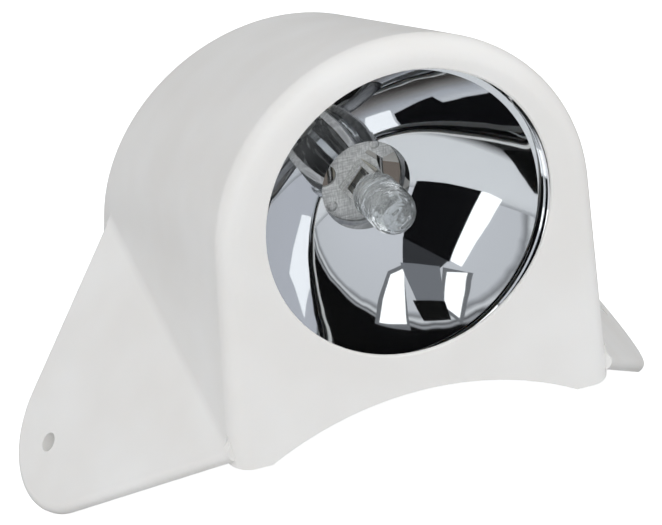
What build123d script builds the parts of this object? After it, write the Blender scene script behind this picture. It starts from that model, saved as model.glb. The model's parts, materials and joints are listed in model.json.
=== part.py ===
"""Mast-mounted deck light: a white moulded arch housing with two screw ears, a chromed
parabolic reflector behind a clear glass, and an H3 halogen bulb held by a wire clip.

The origin is on the crest of the mast at the front wall. +Y runs up the mast, +Z points
away from the mast and +X is to the right, seen from the front. The beam leaves forward
and tilts away from the mast.
"""
import os
from math import cos, hypot, pi, radians, sin, sqrt, tan

from build123d import *

os.makedirs("parts", exist_ok=True)

# Housing
mast_radius = 85.0
beam_tilt = 13.0
aperture_height = 46.1
arch_radius = 47.3
face_margin = 11.3
arch_drop = 2.6
leg_flare = 2.33
roof_slope = 15.4
wall = 3.0
front_round = 5.5
lip_thickness = 1.0
lip_round = 0.5
saddle_half_width = 39.6
back_place = 100.4

# Screw ears
ear_droop = 53.0
ear_thickness = 2.8
ear_sink = 0.2
ear_mast_gap = 0.05
ear_nose = (0.2, 2.2)
ear_nose_root = 1.6
ear_root_front = 4.0
ear_length = 95.5
ear_cut = 95.1
ear_apex_along = 65.7
ear_apex_out = 83.0
ear_apex_round = 23.8
ear_root = 4.5
ear_edge_round = 2.0
ear_seam_round = 6.0
ear_seam_front = 3.2
ear_hole_radius = 2.5
ear_hole_along = 60.8
ear_hole_out = 45.2
ear_pad_radius = 9.0
ear_pad_height = 2.2

# Lamp unit in its rebate, off the aperture's centre
lamp_shift_x = -2.0
lamp_shift_y = -1.3
rebate_gap = 0.3
seal_width = 1.8
flange_width = 2.2
flange_depth = 2.0
sheet = 1.0
shelf_width = 1.8
shelf_depth = 4.2
mouth_gap = 0.2
lens_gap = 0.2
lens_thickness = 2.0
lens_crown = 4.0

# Neck and bulb, with the bulb's sizes from the H3 standard
neck_hole_radius = 11.3
neck_flange_radius = 17.5
plate_thickness = 1.0
tip_gap = 1.1
seat_overlap = 0.4
filament_height = 18.0
disc_radius = 11.25
disc_thickness = 0.8
bulb_turn = 48.5
bump_radius = 1.4
bump_place = 9.3
bump_height = 0.6
bump_angles = (59.0, 219.0)
notch_radius = 2.7
notch_x = -8.25
notch_y = 2.3
cut_corner = (8.8, 4.4)
cut_apex = (5.1, 3.5)
cut_heel = (6.7, -3.75)
cut_run_out = (5.4, -5.6)
slot_place = 6.6
slot_width = 1.1
slot_length = 4.6
strap_place = 2.7
strap_width = 8.6
strap_thickness = 0.5
strap_height = 10.6
grip_length = 1.0
grip_width = 3.0
capsule_radius = 5.7
capsule_height = 28.0
glass_wall = 0.9
pinch_width = 7.6
pinch_thickness = 3.2
foil_width = 2.9
foil_length = 6.1
foil_thickness = 0.12
foil_gap = 1.0
coil_length = 4.6
coil_radius = 0.65
support_radius = 0.22
pin_radius = 0.35
socket_wall = 0.6
socket_height = 1.5
bushing_radius = 5.2
bushing_length = 5.0
pocket_depth = 0.9

# Retaining ring
ring_step = 0.4
ring_gap = 0.3
ring_thickness = 2.0
boss_margin = 13.3
boss_radius = 3.5
screw_radius = 1.3
screw_head_radius = 2.7
screw_head_height = 1.7
screw_slot = 0.7
screw_end_gap = 0.5
pilot_skin = 1.2
hook_width = 12.0
hook_thickness = 2.0
hook_overlap = 3.0
hook_sink = 1.5

# Seat plate and wire clip
plate_half_width = 19.5
plate_half_height = 21.0
plate_corner = 3.0
rivet_radius = 1.0
rivet_circle = 15.2
rivet_head_radius = 1.8
rivet_head_height = 0.6
rivet_angles = (35.0, 145.0, 270.0)
wire_radius = 0.7
wire_gap = 0.3
hinge_place = 18.0
hinge_gap = 0.08
clip_half_width = 6.5
clip_reach = 36.0
clip_finger = 4.0
clip_bend = 2.0
lug_place = 3.4
lug_thickness = 0.8
lug_half_width = 1.7
catch_gap = 0.4
catch_width = 2.4
catch_height = 4.0
catch_lip = 1.6

# Earth tab and its sleeve
tab_place = 16.0
tab_width = 6.3
tab_thickness = 0.8
tab_height = 9.0
tab_foot = 4.4
sleeve_wall = 0.8
sleeve_length = 13.0
sleeve_start = 2.2

# Leads and the splice between bulb and block
lead_radius = 0.9
boot_start = 5.0
boot_length = 14.0
boot_radius = 2.9
boot_end_wall = 2.0
barrel_radius = 1.6
barrel_grip = 4.0
lead_run = 4.0
feed_rise = 5.2
earth_rise = 20.0
lead_end_gap = 0.5

# Shelf and terminal block
shelf_level = 17.0
shelf_thickness = 3.0
shelf_half_width = 11.0
shelf_length = 19.0
gusset_thickness = 2.0
gusset_drop = 9.0
root_sink = 1.0
block_half_width = 9.5
block_length = 12.0
block_height = 10.0
block_inset = 1.5
block_round = 0.8
tube_pitch = 9.0
tube_radius = 2.4
tube_bore = 1.5
tube_inset = 0.5
clamp_radius = 1.3
clamp_well_gap = 0.35
clamp_length = 3.4
clamp_inset = 3.0
block_screw_head = 0.9

# Cable grommet in the back wall
grommet_level = 9.0
grommet_hole_radius = 5.5
grommet_flange_radius = 7.3
grommet_flange = 1.5
grommet_bore = 3.2

# Planes and depths that follow from these sizes
aperture_radius = arch_radius - face_margin
mouth_radius = aperture_radius + mouth_gap
boss_x = arch_radius - boss_margin
boss_y = boss_margin - arch_radius
tilt = radians(beam_tilt)
slope = radians(roof_slope)
flare = radians(leg_flare)
droop = radians(ear_droop)
front = Plane(
    origin=(0, aperture_height * sin(tilt), aperture_height * cos(tilt)),
    x_dir=(1, 0, 0),
    z_dir=(0, -cos(tilt), sin(tilt)),
)
lamp = Plane(
    origin=front.from_local_coords(Vector(lamp_shift_x, lamp_shift_y, 0)),
    x_dir=(1, 0, 0),
    z_dir=front.z_dir,
)
turn = radians(bulb_turn)
bulb = Plane(
    origin=lamp.origin,
    x_dir=lamp.x_dir * cos(turn) + lamp.y_dir * sin(turn),
    z_dir=lamp.z_dir,
)
section = Plane(origin=lamp.origin, x_dir=lamp.x_dir, z_dir=lamp.y_dir)
lamp_axis = Axis(lamp.origin, lamp.z_dir)
tunnel = front.z_dir * -cos(slope) + front.y_dir * -sin(slope)
tunnel_length = 1.3 * back_place
deep = 2 * aperture_height
back_inside = back_place - wall

foot_level = sqrt(mast_radius**2 - saddle_half_width**2) - mast_radius
leg_top = arch_radius * sin(flare) - arch_drop
leg_bottom = foot_level / cos(tilt) - aperture_height
ear_side = arch_radius * cos(flare) + (leg_top - leg_bottom) * tan(flare) - ear_sink
ear_reach = mast_radius + ear_mast_gap + ear_thickness
ear_level = (ear_reach - ear_side * sin(droop)) / cos(droop) - mast_radius

step_radius = mouth_radius + shelf_width
flange_radius = step_radius + flange_width
rebate_radius = flange_radius + rebate_gap
ring_inner = step_radius - ring_step
ring_outer = flange_radius - ring_gap
seat_depth = shelf_depth - lens_crown + tip_gap + capsule_height
shelf_back = shelf_depth + sheet
boss_end = shelf_back
ring_back = shelf_back + ring_thickness
lens_radius = step_radius - lens_gap
filament_depth = seat_depth - filament_height
neck_end = seat_depth - plate_thickness
disc_back = seat_depth + disc_thickness
strap_top = seat_depth - strap_height
capsule_tip = seat_depth - capsule_height
pinch_end = disc_back + pocket_depth
socket_front = seat_depth - socket_height
bushing_back = disc_back + bushing_length
foil_front = strap_top + foil_gap
foil_back = foil_front + foil_length
foil_place = pinch_width / 4
support_place = coil_length / 2 - support_radius
wire_depth = disc_back + wire_gap + wire_radius
clip_end = hinge_place - clip_reach
boot_front = bushing_back + boot_start
boot_back = boot_front + boot_length
barrel_front = boot_front + boot_end_wall
barrel_back = boot_back - boot_end_wall
sleeve_front = seat_depth + sleeve_start
sleeve_back = sleeve_front + sleeve_length

# The parabola has its focus at the filament and passes the mouth's edge.
focus_gap = filament_depth - shelf_depth
focal = (sqrt(focus_gap**2 + mouth_radius**2) - focus_gap) / 2
vertex_depth = filament_depth + focal

block_front = back_inside - shelf_length + block_inset
shelf_top = shelf_level + shelf_thickness
tube_level = shelf_top + block_height / 2
block_top = shelf_top + block_height


def bowl_depth(radius):
    """Depth of the reflecting surface at a distance from the lamp's axis."""
    return vertex_depth - radius**2 / (4 * focal)


def bowl_slope(radius):
    """Change of the reflecting surface's depth for each millimetre outwards."""
    return -radius / (2 * focal)


def arch_outline(inset):
    """Draws the tunnel's outline in the front plane, an arch on two flared legs."""
    radius = arch_radius - inset
    spring_x = radius * cos(flare)
    spring_y = radius * sin(flare) - arch_drop
    foot_x = spring_x + (deep + spring_y) * tan(flare)
    ThreePointArc((spring_x, spring_y), (0, radius - arch_drop), (-spring_x, spring_y))
    Polyline((-spring_x, spring_y), (-foot_x, -deep), (foot_x, -deep), (spring_x, spring_y))


def lamp_point(across, up, depth):
    """Point given from the lamp's axis, with its depth behind the front plane."""
    return lamp.from_local_coords(Vector(across, up, -depth))


def run_route(points):
    """Draws straight runs joined by tangent arcs, each as wide as its shorter run allows."""
    place = Vector(points[0])
    for before, corner, after in zip(points, points[1:], points[2:]):
        before, corner, after = Vector(before), Vector(corner), Vector(after)
        into = (corner - before).normalized()
        out = (after - corner).normalized()
        room = 0.45 * min((corner - before).length, (after - corner).length)
        half_turn = radians(into.get_angle(out)) / 2
        print("lead arc radius", round(room / tan(half_turn), 1))
        Line(place, corner - into * room)
        TangentArc(corner - into * room, corner + out * room, tangent=into)
        place = corner + out * room
    Line(place, Vector(points[-1]))


def ear_plane(side):
    """Plane of an ear's outer face, with x up the mast and z away from the mast."""
    return Plane(
        origin=(side * ear_side, 0, ear_level),
        x_dir=(0, 1, 0),
        z_dir=(side * sin(droop), 0, cos(droop)),
    )


def ear_out(side):
    """Sign of the sketch direction that leads away from the housing on an ear's plane."""
    outward = Vector(side * cos(droop), 0, -sin(droop))
    return 1 if ear_plane(side).y_dir.dot(outward) > 0 else -1


def seam_directions(side):
    """Outward normals of a side wall and its ear, and the direction of their seam up the mast."""
    leg = front.x_dir * (side * sin(flare)) - front.y_dir * cos(flare)
    wall_normal = tunnel.cross(leg).normalized()
    wall_normal = wall_normal * (side if wall_normal.X > 0 else -side)
    seam = wall_normal.cross(ear_plane(side).z_dir).normalized()
    return wall_normal, ear_plane(side).z_dir, seam * (1 if seam.Y > 0 else -1)


def seam_point(side, along):
    """Point of the seam between a side wall and its ear, at a distance up the mast."""
    wall_normal, ear_normal, seam = seam_directions(side)
    leg_corner = front.from_local_coords(Vector(side * arch_radius * cos(flare), leg_top, 0))
    ear_origin = ear_plane(side).origin
    # Where the wall's plane, the ear's plane and the plane across the mast meet
    wall_reach = wall_normal.dot(leg_corner) - wall_normal.Y * along
    ear_reach_here = ear_normal.dot(ear_origin)
    spread = wall_normal.X * ear_normal.Z - wall_normal.Z * ear_normal.X
    x = (wall_reach * ear_normal.Z - ear_reach_here * wall_normal.Z) / spread
    z = (wall_normal.X * ear_reach_here - ear_normal.X * wall_reach) / spread
    return Vector(x, along, z)


with BuildPart() as housing:
    with BuildSketch(front):
        with BuildLine():
            arch_outline(0)
        make_face()
    extrude(amount=tunnel_length, dir=tunnel)
    front_face = housing.faces().sort_by(Axis(front.origin, front.z_dir))[-1]
    fillet(front_face.edges().sort_by(Axis(front.origin, front.y_dir))[1:], front_round)
    split(bisect_by=Plane(origin=(0, back_place, 0), z_dir=(0, 1, 0)), keep=Keep.BOTTOM)
    split(bisect_by=Plane(origin=(0, 0, foot_level), z_dir=(0, 0, 1)), keep=Keep.TOP)
    for side in (-1, 1):
        out = ear_out(side)
        with BuildPart(mode=Mode.PRIVATE) as plate:
            with BuildSketch(ear_plane(side)) as ear:
                with BuildLine():
                    Polyline(
                        (ear_nose_root, 0),
                        (ear_nose[0], out * ear_nose[1]),
                        (ear_apex_along, out * ear_apex_out),
                        (ear_length, 0),
                        (ear_length, -out * ear_root),
                        (ear_root_front, -out * ear_root),
                        close=True,
                    )
                make_face()
                fillet(ear.vertices().sort_by(Axis.Y)[-1 if out > 0 else 0], ear_apex_round)
                with Locations((ear_cut + ear_apex_out / 2, 0)):
                    Rectangle(ear_apex_out, 2 * ear_apex_out, mode=Mode.SUBTRACT)
            extrude(amount=-ear_thickness)
            outer = plate.faces().sort_by(Axis(ear_plane(side).origin, ear_plane(side).z_dir))[-1]
            rim = outer.edges().filter_by(lambda e: e.length > 2 * ear_root)
            rim = rim.sort_by(Axis(ear_plane(side).origin, ear_plane(side).y_dir * out))[1:]
            fillet(rim, ear_edge_round)
        add(plate.part)
        # Concave round between the ear and the housing's side
        wall_normal, ear_normal, seam = seam_directions(side)
        up, outward = seam.cross(wall_normal) * -side, seam.cross(ear_normal) * side
        half_turn = radians(wall_normal.get_angle(ear_normal)) / 2
        start = seam_point(side, ear_seam_front)
        fold = Plane(origin=start, x_dir=outward, z_dir=seam)
        run_in = ear_seam_round * tan(half_turn)
        between = (up + outward).normalized() * (ear_seam_round / cos(half_turn) - ear_seam_round)
        corners = [
            fold.to_local_coords(start + offset)
            for offset in (up * run_in, between, outward * run_in, (wall_normal + ear_normal) * -1)
        ]
        with BuildSketch(fold):
            with BuildLine():
                ThreePointArc(*corners[:3])
                Polyline(corners[2], corners[3], corners[0])
            make_face()
        extrude(amount=ear_cut - ear_seam_front)
        with BuildSketch(ear_plane(side).offset(-ear_thickness)):
            with Locations((ear_hole_along, out * ear_hole_out)):
                Circle(ear_pad_radius)
        extrude(amount=-ear_pad_height)
    # Hollow between the front wall and the back wall, open towards the mast
    with BuildPart(mode=Mode.PRIVATE) as hollow:
        inside = front.origin + tunnel * (wall / cos(slope))
        with BuildSketch(Plane(origin=inside, x_dir=(1, 0, 0), z_dir=front.z_dir)):
            with BuildLine():
                arch_outline(wall)
            make_face()
        extrude(amount=tunnel_length, dir=tunnel)
        split(bisect_by=Plane(origin=(0, back_inside, 0), z_dir=(0, 1, 0)), keep=Keep.BOTTOM)
    add(hollow.part, mode=Mode.SUBTRACT)
    # Rebate of the lamp unit behind the lip, and the aperture
    with BuildSketch(lamp.offset(-lip_thickness)):
        Circle(rebate_radius)
    extrude(amount=-wall, mode=Mode.SUBTRACT)
    with BuildSketch(front):
        Circle(aperture_radius)
    extrude(amount=-wall, mode=Mode.SUBTRACT)
    aperture_edge = housing.edges().filter_by(GeomType.CIRCLE)
    aperture_edge = aperture_edge.filter_by(lambda e: abs(e.radius - aperture_radius) < 0.01)
    fillet(aperture_edge.sort_by(Axis(front.origin, front.z_dir))[-1], lip_round)
    # Two bosses and a ceiling hook for the retaining ring
    with BuildSketch(front.offset(-wall / 2)):
        with Locations((boss_x, boss_y), (-boss_x, boss_y)):
            Circle(boss_radius)
    extrude(amount=wall / 2 - boss_end)
    with BuildSketch(lamp.offset(-ring_back)):
        hook_start = ring_outer - hook_overlap
        ceiling = arch_radius - arch_drop - wall - lamp_shift_y - ring_back * tan(slope)
        with Locations((0, hook_start)):
            Rectangle(hook_width, ceiling + hook_sink - hook_start, align=(Align.CENTER, Align.MIN))
    extrude(amount=-hook_thickness)
    with BuildSketch(front.offset(-boss_end)):
        with Locations((boss_x, boss_y), (-boss_x, boss_y)):
            Circle(screw_radius)
    extrude(amount=boss_end - pilot_skin, mode=Mode.SUBTRACT)
    # Shelf with two gussets for the terminal block
    with BuildSketch(Plane.XY.offset(shelf_level)):
        with Locations((0, back_inside + wall / 2)):
            Rectangle(2 * shelf_half_width, shelf_length + wall / 2, align=(Align.CENTER, Align.MAX))
    extrude(amount=shelf_thickness)
    gusset_middle = shelf_half_width - gusset_thickness / 2
    for side in (-1, 1):
        corner = (side * gusset_middle, back_inside + root_sink, shelf_level + root_sink)
        with BuildSketch(Plane(origin=corner, x_dir=(0, 1, 0), z_dir=(1, 0, 0))):
            reach = gusset_drop + root_sink
            with BuildLine():
                Polyline((0, 0), (-reach, 0), (0, -reach), close=True)
            make_face()
        extrude(amount=gusset_thickness / 2, both=True)
    with BuildSketch(Plane.XY.offset(shelf_top)):
        with Locations((0, block_front + block_length / 2)):
            Circle(screw_radius)
    extrude(amount=-shelf_thickness, mode=Mode.SUBTRACT)
    # Cable entry, screw holes, and the mast
    with BuildSketch(Plane(origin=(0, back_place, grommet_level), x_dir=(1, 0, 0), z_dir=(0, -1, 0))):
        Circle(grommet_hole_radius)
    extrude(amount=wall, mode=Mode.SUBTRACT)
    for side in (-1, 1):
        with BuildSketch(ear_plane(side)):
            with Locations((ear_hole_along, ear_out(side) * ear_hole_out)):
                Circle(ear_hole_radius)
        extrude(amount=-ear_thickness - ear_pad_height, mode=Mode.SUBTRACT)
    with Locations(Plane(origin=(0, -back_place, -mast_radius), z_dir=(0, 1, 0))):
        on_axis = (Align.CENTER, Align.CENTER, Align.MIN)
        Cylinder(mast_radius, 4 * back_place, align=on_axis, mode=Mode.SUBTRACT)
housing.part.label = "housing"
export_step(housing.part, "parts/housing.step")
print("housing", housing.part.bounding_box(), len(housing.solids()))

with BuildPart() as lens:
    # A slightly convex disc of even thickness
    crown_radius = (lens_radius**2 + lens_crown**2) / (2 * lens_crown)
    with BuildSketch(section):
        with BuildLine():
            outer_edge = (lens_radius, shelf_depth - lens_thickness)
            outer_apex = (0, shelf_depth - lens_thickness - lens_crown)
            chord = lens_radius / 2
            sag = sqrt(crown_radius**2 - chord**2) - sqrt(crown_radius**2 - lens_radius**2)
            ThreePointArc(outer_apex, (chord, shelf_depth - lens_thickness - sag), outer_edge)
            Line(outer_edge, (lens_radius, shelf_depth))
            inner_apex = (0, shelf_depth - lens_crown)
            ThreePointArc((lens_radius, shelf_depth), (chord, shelf_depth - sag), inner_apex)
            Line(inner_apex, outer_apex)
        make_face()
    revolve(axis=lamp_axis)
lens.part.label = "lens"
export_step(lens.part, "parts/lens.step")

with BuildPart() as lens_seal:
    with BuildSketch(lamp.offset(-lip_thickness)):
        Circle(flange_radius)
        Circle(flange_radius - seal_width, mode=Mode.SUBTRACT)
    extrude(amount=lip_thickness - flange_depth)
lens_seal.part.label = "lens_seal"
export_step(lens_seal.part, "parts/lens_seal.step")

with BuildPart() as reflector:
    # Bowl, shelf for the lens, flange and neck, as one sheet
    mouth_slope = bowl_slope(mouth_radius)
    neck_slope = bowl_slope(neck_hole_radius)
    mouth_shift = sheet / hypot(1, mouth_slope)
    neck_shift = sheet / hypot(1, neck_slope)
    neck_outer = neck_hole_radius + sheet
    mouth_back = shelf_depth + mouth_shift
    outer_mouth = mouth_radius - mouth_slope * mouth_shift + (shelf_back - mouth_back) / mouth_slope
    neck_back = bowl_depth(neck_hole_radius) + neck_shift
    outer_neck = neck_back + neck_slope * (neck_outer - neck_hole_radius + neck_slope * neck_shift)
    middle = (mouth_radius + neck_hole_radius) / 2
    middle_depth = vertex_depth - mouth_radius * neck_hole_radius / (4 * focal)
    rise = (outer_neck - shelf_back - neck_slope * neck_outer + mouth_slope * outer_mouth)
    outer_middle = rise / (mouth_slope - neck_slope)
    outer_middle_depth = shelf_back + mouth_slope * (outer_middle - outer_mouth)
    with BuildSketch(section):
        with BuildLine():
            Bezier(
                (neck_hole_radius, bowl_depth(neck_hole_radius)),
                (middle, middle_depth),
                (mouth_radius, shelf_depth),
            )
            Polyline(
                (mouth_radius, shelf_depth),
                (step_radius, shelf_depth),
                (step_radius, flange_depth),
                (flange_radius, flange_depth),
                (flange_radius, flange_depth + sheet),
                (step_radius + sheet, flange_depth + sheet),
                (step_radius + sheet, shelf_back),
                (outer_mouth, shelf_back),
            )
            Bezier(
                (outer_mouth, shelf_back),
                (outer_middle, outer_middle_depth),
                (neck_outer, outer_neck),
            )
            Polyline(
                (neck_outer, outer_neck),
                (neck_outer, neck_end - sheet),
                (neck_flange_radius, neck_end - sheet),
                (neck_flange_radius, neck_end),
                (neck_hole_radius, neck_end),
                (neck_hole_radius, bowl_depth(neck_hole_radius)),
            )
        make_face()
    revolve(axis=lamp_axis)
    with BuildSketch(lamp.offset(-neck_end)):
        for angle in rivet_angles:
            with Locations((rivet_circle * cos(radians(angle)), rivet_circle * sin(radians(angle)))):
                Circle(rivet_radius)
    extrude(amount=sheet, mode=Mode.SUBTRACT)
reflector.part.label = "reflector"
export_step(reflector.part, "parts/reflector.step")

with BuildPart() as retaining_ring:
    with BuildSketch(front.offset(-shelf_back)):
        with Locations((lamp_shift_x, lamp_shift_y)):
            Circle(ring_outer)
        for x in (-boss_x, boss_x):
            reach = Vector(x - lamp_shift_x, boss_y - lamp_shift_y)
            band = (ring_inner + ring_outer) / 2
            with Locations((x, boss_y)):
                Circle(boss_radius)
            link_middle = Vector(lamp_shift_x, lamp_shift_y) + reach.normalized() * (reach.length + band) / 2
            with Locations((link_middle.X, link_middle.Y)):
                lean = Vector(1, 0, 0).get_signed_angle(reach, Vector(0, 0, 1))
                Rectangle(reach.length - band, 2 * boss_radius, rotation=lean)
        with Locations((lamp_shift_x, lamp_shift_y)):
            Circle(ring_inner, mode=Mode.SUBTRACT)
        with Locations((boss_x, boss_y), (-boss_x, boss_y)):
            Circle(screw_radius, mode=Mode.SUBTRACT)
    extrude(amount=-ring_thickness)
retaining_ring.part.label = "retaining_ring"
export_step(retaining_ring.part, "parts/retaining_ring.step")

with BuildPart() as ring_screws:
    with BuildSketch(front.offset(-ring_back)):
        with Locations((boss_x, boss_y), (-boss_x, boss_y)):
            Circle(screw_radius)
    extrude(amount=ring_back - pilot_skin - screw_end_gap)
    with BuildSketch(front.offset(-ring_back)):
        with Locations((boss_x, boss_y), (-boss_x, boss_y)):
            Circle(screw_head_radius)
    extrude(amount=-screw_head_height)
    heads = ring_screws.edges().sort_by(Axis(front.origin, front.z_dir)).filter_by(GeomType.CIRCLE)[:2]
    chamfer(heads, screw_head_height / 2)
    with BuildSketch(front.offset(-ring_back - screw_head_height)):
        with Locations((boss_x, boss_y), (-boss_x, boss_y)):
            Rectangle(screw_slot, 3 * screw_head_radius)
    extrude(amount=screw_head_height / 2, mode=Mode.SUBTRACT)
ring_screws.part.label = "ring_screws"
export_step(ring_screws.part, "parts/ring_screws.step")

with BuildPart() as bulb_base:
    with BuildSketch(lamp.offset(-seat_depth)):
        Circle(disc_radius)
        with Locations((notch_x, notch_y)):
            Circle(notch_radius, mode=Mode.SUBTRACT)
        with BuildLine():
            Polyline(
                cut_apex,
                cut_corner,
                (disc_radius, cut_run_out[0]),
                (disc_radius, cut_run_out[1]),
                cut_heel,
                close=True,
            )
        make_face(mode=Mode.SUBTRACT)
    extrude(amount=-disc_thickness)
    with BuildSketch(bulb.offset(-seat_depth)):
        with Locations((slot_place, 0)):
            Rectangle(slot_width, slot_length)
        Rectangle(pinch_width + 2 * socket_wall, pinch_thickness + 2 * socket_wall)
    extrude(amount=-disc_thickness, mode=Mode.SUBTRACT)
    # Cage of two plates, and their grips on the pinch
    with BuildSketch(bulb.offset(-seat_depth)):
        with Locations((0, strap_place), (0, -strap_place)):
            Rectangle(strap_width, strap_thickness)
    extrude(amount=strap_height)
    with BuildSketch(bulb.offset(-foil_front)):
        grip_reach = strap_place - pinch_thickness / 2
        grip_middle = (strap_place + pinch_thickness / 2) / 2
        with Locations((0, grip_middle), (0, -grip_middle)):
            Rectangle(grip_width, grip_reach)
    extrude(amount=grip_length)
    # Domed feet on the disc's front
    for angle in bump_angles:
        x = bump_place * cos(radians(angle))
        y = bump_place * sin(radians(angle))
        ball = (bump_radius**2 + bump_height**2) / (2 * bump_height)
        middle_of_ball = lamp_point(x, y, seat_depth + ball - bump_height)
        with BuildPart(mode=Mode.PRIVATE) as dome:
            with Locations(middle_of_ball):
                Sphere(ball)
            split(bisect_by=lamp.offset(-seat_depth), keep=Keep.TOP)
        add(dome.part)
bulb_base.part.label = "bulb_base"
export_step(bulb_base.part, "parts/bulb_base.step")

with BuildPart() as bulb_glass:
    inner = capsule_radius - glass_wall
    dome_depth = capsule_tip + capsule_radius
    with BuildSketch(section):
        with BuildLine():
            corner = capsule_radius * sin(radians(45))
            ThreePointArc((0, capsule_tip), (corner, dome_depth - corner), (capsule_radius, dome_depth))
            shoulder = (capsule_radius, strap_top)
            Polyline((capsule_radius, dome_depth), shoulder, (0, strap_top), (0, capsule_tip))
        make_face()
        with BuildLine():
            inner_corner = inner * sin(radians(45))
            inner_tip = (0, dome_depth - inner)
            inner_end = strap_top - 2 * glass_wall
            ThreePointArc(inner_tip, (inner_corner, dome_depth - inner_corner), (inner, dome_depth))
            Polyline((inner, dome_depth), (inner, inner_end), (0, inner_end), inner_tip)
        make_face(mode=Mode.SUBTRACT)
    revolve(axis=lamp_axis)
    with BuildSketch(bulb.offset(-strap_top)):
        Rectangle(pinch_width, pinch_thickness)
    extrude(amount=strap_top - pinch_end)
    # Room for the foils and wires that are sealed in
    with BuildSketch(bulb.offset(-foil_front)):
        with Locations((foil_place, 0), (-foil_place, 0)):
            Rectangle(foil_width, foil_thickness)
    extrude(amount=-foil_length, mode=Mode.SUBTRACT)
    with BuildSketch(bulb.offset(-foil_back)):
        with Locations((foil_place, 0), (-foil_place, 0)):
            Circle(pin_radius)
    extrude(amount=foil_back - pinch_end, mode=Mode.SUBTRACT)
    with BuildSketch(bulb.offset(-foil_front)):
        with Locations((support_place, 0), (-support_place, 0)):
            Circle(support_radius)
    extrude(amount=foil_front - inner_end, mode=Mode.SUBTRACT)
bulb_glass.part.label = "bulb_glass"
export_step(bulb_glass.part, "parts/bulb_glass.step")

with BuildPart() as bulb_foils:
    with BuildSketch(bulb.offset(-foil_front)):
        with Locations((foil_place, 0), (-foil_place, 0)):
            Rectangle(foil_width, foil_thickness)
    extrude(amount=-foil_length)
    with BuildSketch(bulb.offset(-foil_back)):
        with Locations((foil_place, 0), (-foil_place, 0)):
            Circle(pin_radius)
    extrude(amount=foil_back - pinch_end)
bulb_foils.part.label = "bulb_foils"
export_step(bulb_foils.part, "parts/bulb_foils.step")

with BuildPart() as bulb_filament:
    with BuildSketch(Plane(origin=lamp_point(0, 0, filament_depth), x_dir=bulb.z_dir, z_dir=bulb.x_dir)):
        Circle(coil_radius)
    extrude(amount=coil_length / 2, both=True)
    with BuildSketch(bulb.offset(-filament_depth)):
        with Locations((support_place, 0), (-support_place, 0)):
            Circle(support_radius)
    extrude(amount=filament_depth - foil_front)
bulb_filament.part.label = "bulb_filament"
export_step(bulb_filament.part, "parts/bulb_filament.step")

with BuildPart() as bulb_bushing:
    with BuildSketch(lamp.offset(-disc_back)):
        Circle(bushing_radius)
    extrude(amount=-bushing_length)
    with BuildSketch(bulb.offset(-disc_back)):
        Rectangle(pinch_width + 2 * socket_wall, pinch_thickness + 2 * socket_wall)
    extrude(amount=disc_back - socket_front)
    with BuildSketch(bulb.offset(-socket_front)):
        Rectangle(pinch_width, pinch_thickness)
    extrude(amount=socket_front - pinch_end, mode=Mode.SUBTRACT)
    with BuildSketch(lamp.offset(-pinch_end)):
        Circle(lead_radius)
    extrude(amount=-bushing_length, mode=Mode.SUBTRACT)
bulb_bushing.part.label = "bulb_bushing"
export_step(bulb_bushing.part, "parts/bulb_bushing.step")

with BuildPart() as bulb_lead:
    with BuildSketch(lamp.offset(-pinch_end)):
        Circle(lead_radius)
    extrude(amount=pinch_end - barrel_front - barrel_grip)
bulb_lead.part.label = "bulb_lead"
export_step(bulb_lead.part, "parts/bulb_lead.step")

with BuildPart() as splice_barrel:
    with BuildSketch(lamp.offset(-barrel_front)):
        Circle(barrel_radius)
    extrude(amount=barrel_front - barrel_back)
    for end, toward in ((barrel_front, -1), (barrel_back, 1)):
        with BuildSketch(lamp.offset(-end)):
            Circle(lead_radius)
        extrude(amount=toward * barrel_grip, mode=Mode.SUBTRACT)
splice_barrel.part.label = "splice_barrel"
export_step(splice_barrel.part, "parts/splice_barrel.step")

with BuildPart() as splice_boot:
    with BuildSketch(lamp.offset(-boot_front)):
        Circle(boot_radius)
    extrude(amount=-boot_length)
    chamfer(splice_boot.edges(), boot_end_wall / 2)
    with BuildSketch(lamp.offset(-boot_front)):
        Circle(lead_radius)
    extrude(amount=-boot_length, mode=Mode.SUBTRACT)
    with BuildSketch(lamp.offset(-barrel_front)):
        Circle(barrel_radius)
    extrude(amount=barrel_front - barrel_back, mode=Mode.SUBTRACT)
splice_boot.part.label = "splice_boot"
export_step(splice_boot.part, "parts/splice_boot.step")

with BuildPart() as seat_plate:
    with BuildSketch(lamp.offset(-neck_end)):
        RectangleRounded(2 * plate_half_width, 2 * plate_half_height, plate_corner)
        Circle(disc_radius - seat_overlap, mode=Mode.SUBTRACT)
        for angle in rivet_angles:
            with Locations((rivet_circle * cos(radians(angle)), rivet_circle * sin(radians(angle)))):
                Circle(rivet_radius, mode=Mode.SUBTRACT)
    extrude(amount=-plate_thickness)
    # Lugs that hold the clip's hinge wire
    for side in (-1, 1):
        eye = lamp_point(side * lug_place, hinge_place, wire_depth)
        with BuildSketch(Plane(origin=eye, x_dir=lamp.y_dir, z_dir=lamp.x_dir)):
            Circle(lug_half_width)
            Rectangle(2 * lug_half_width, wire_depth - seat_depth, align=(Align.CENTER, Align.MIN))
            Circle(wire_radius + hinge_gap, mode=Mode.SUBTRACT)
        extrude(amount=lug_thickness / 2, both=True)
    # Catches that guide the clip's feet
    catch_edge = clip_end - wire_radius - catch_gap
    catch_place = clip_half_width + clip_finger / 2 + wire_radius
    with BuildSketch(lamp.offset(-seat_depth)):
        for side in (-1, 1):
            with Locations((side * catch_place, catch_edge)):
                Rectangle(catch_width, plate_thickness, align=(Align.CENTER, Align.MAX))
    extrude(amount=-catch_height)
    with BuildSketch(lamp.offset(-seat_depth - catch_height)):
        for side in (-1, 1):
            with Locations((side * catch_place, catch_edge)):
                Rectangle(catch_width, catch_lip + plate_thickness, align=(Align.CENTER, Align.MAX))
    extrude(amount=plate_thickness)
seat_plate.part.label = "seat_plate"
export_step(seat_plate.part, "parts/seat_plate.step")

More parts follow.
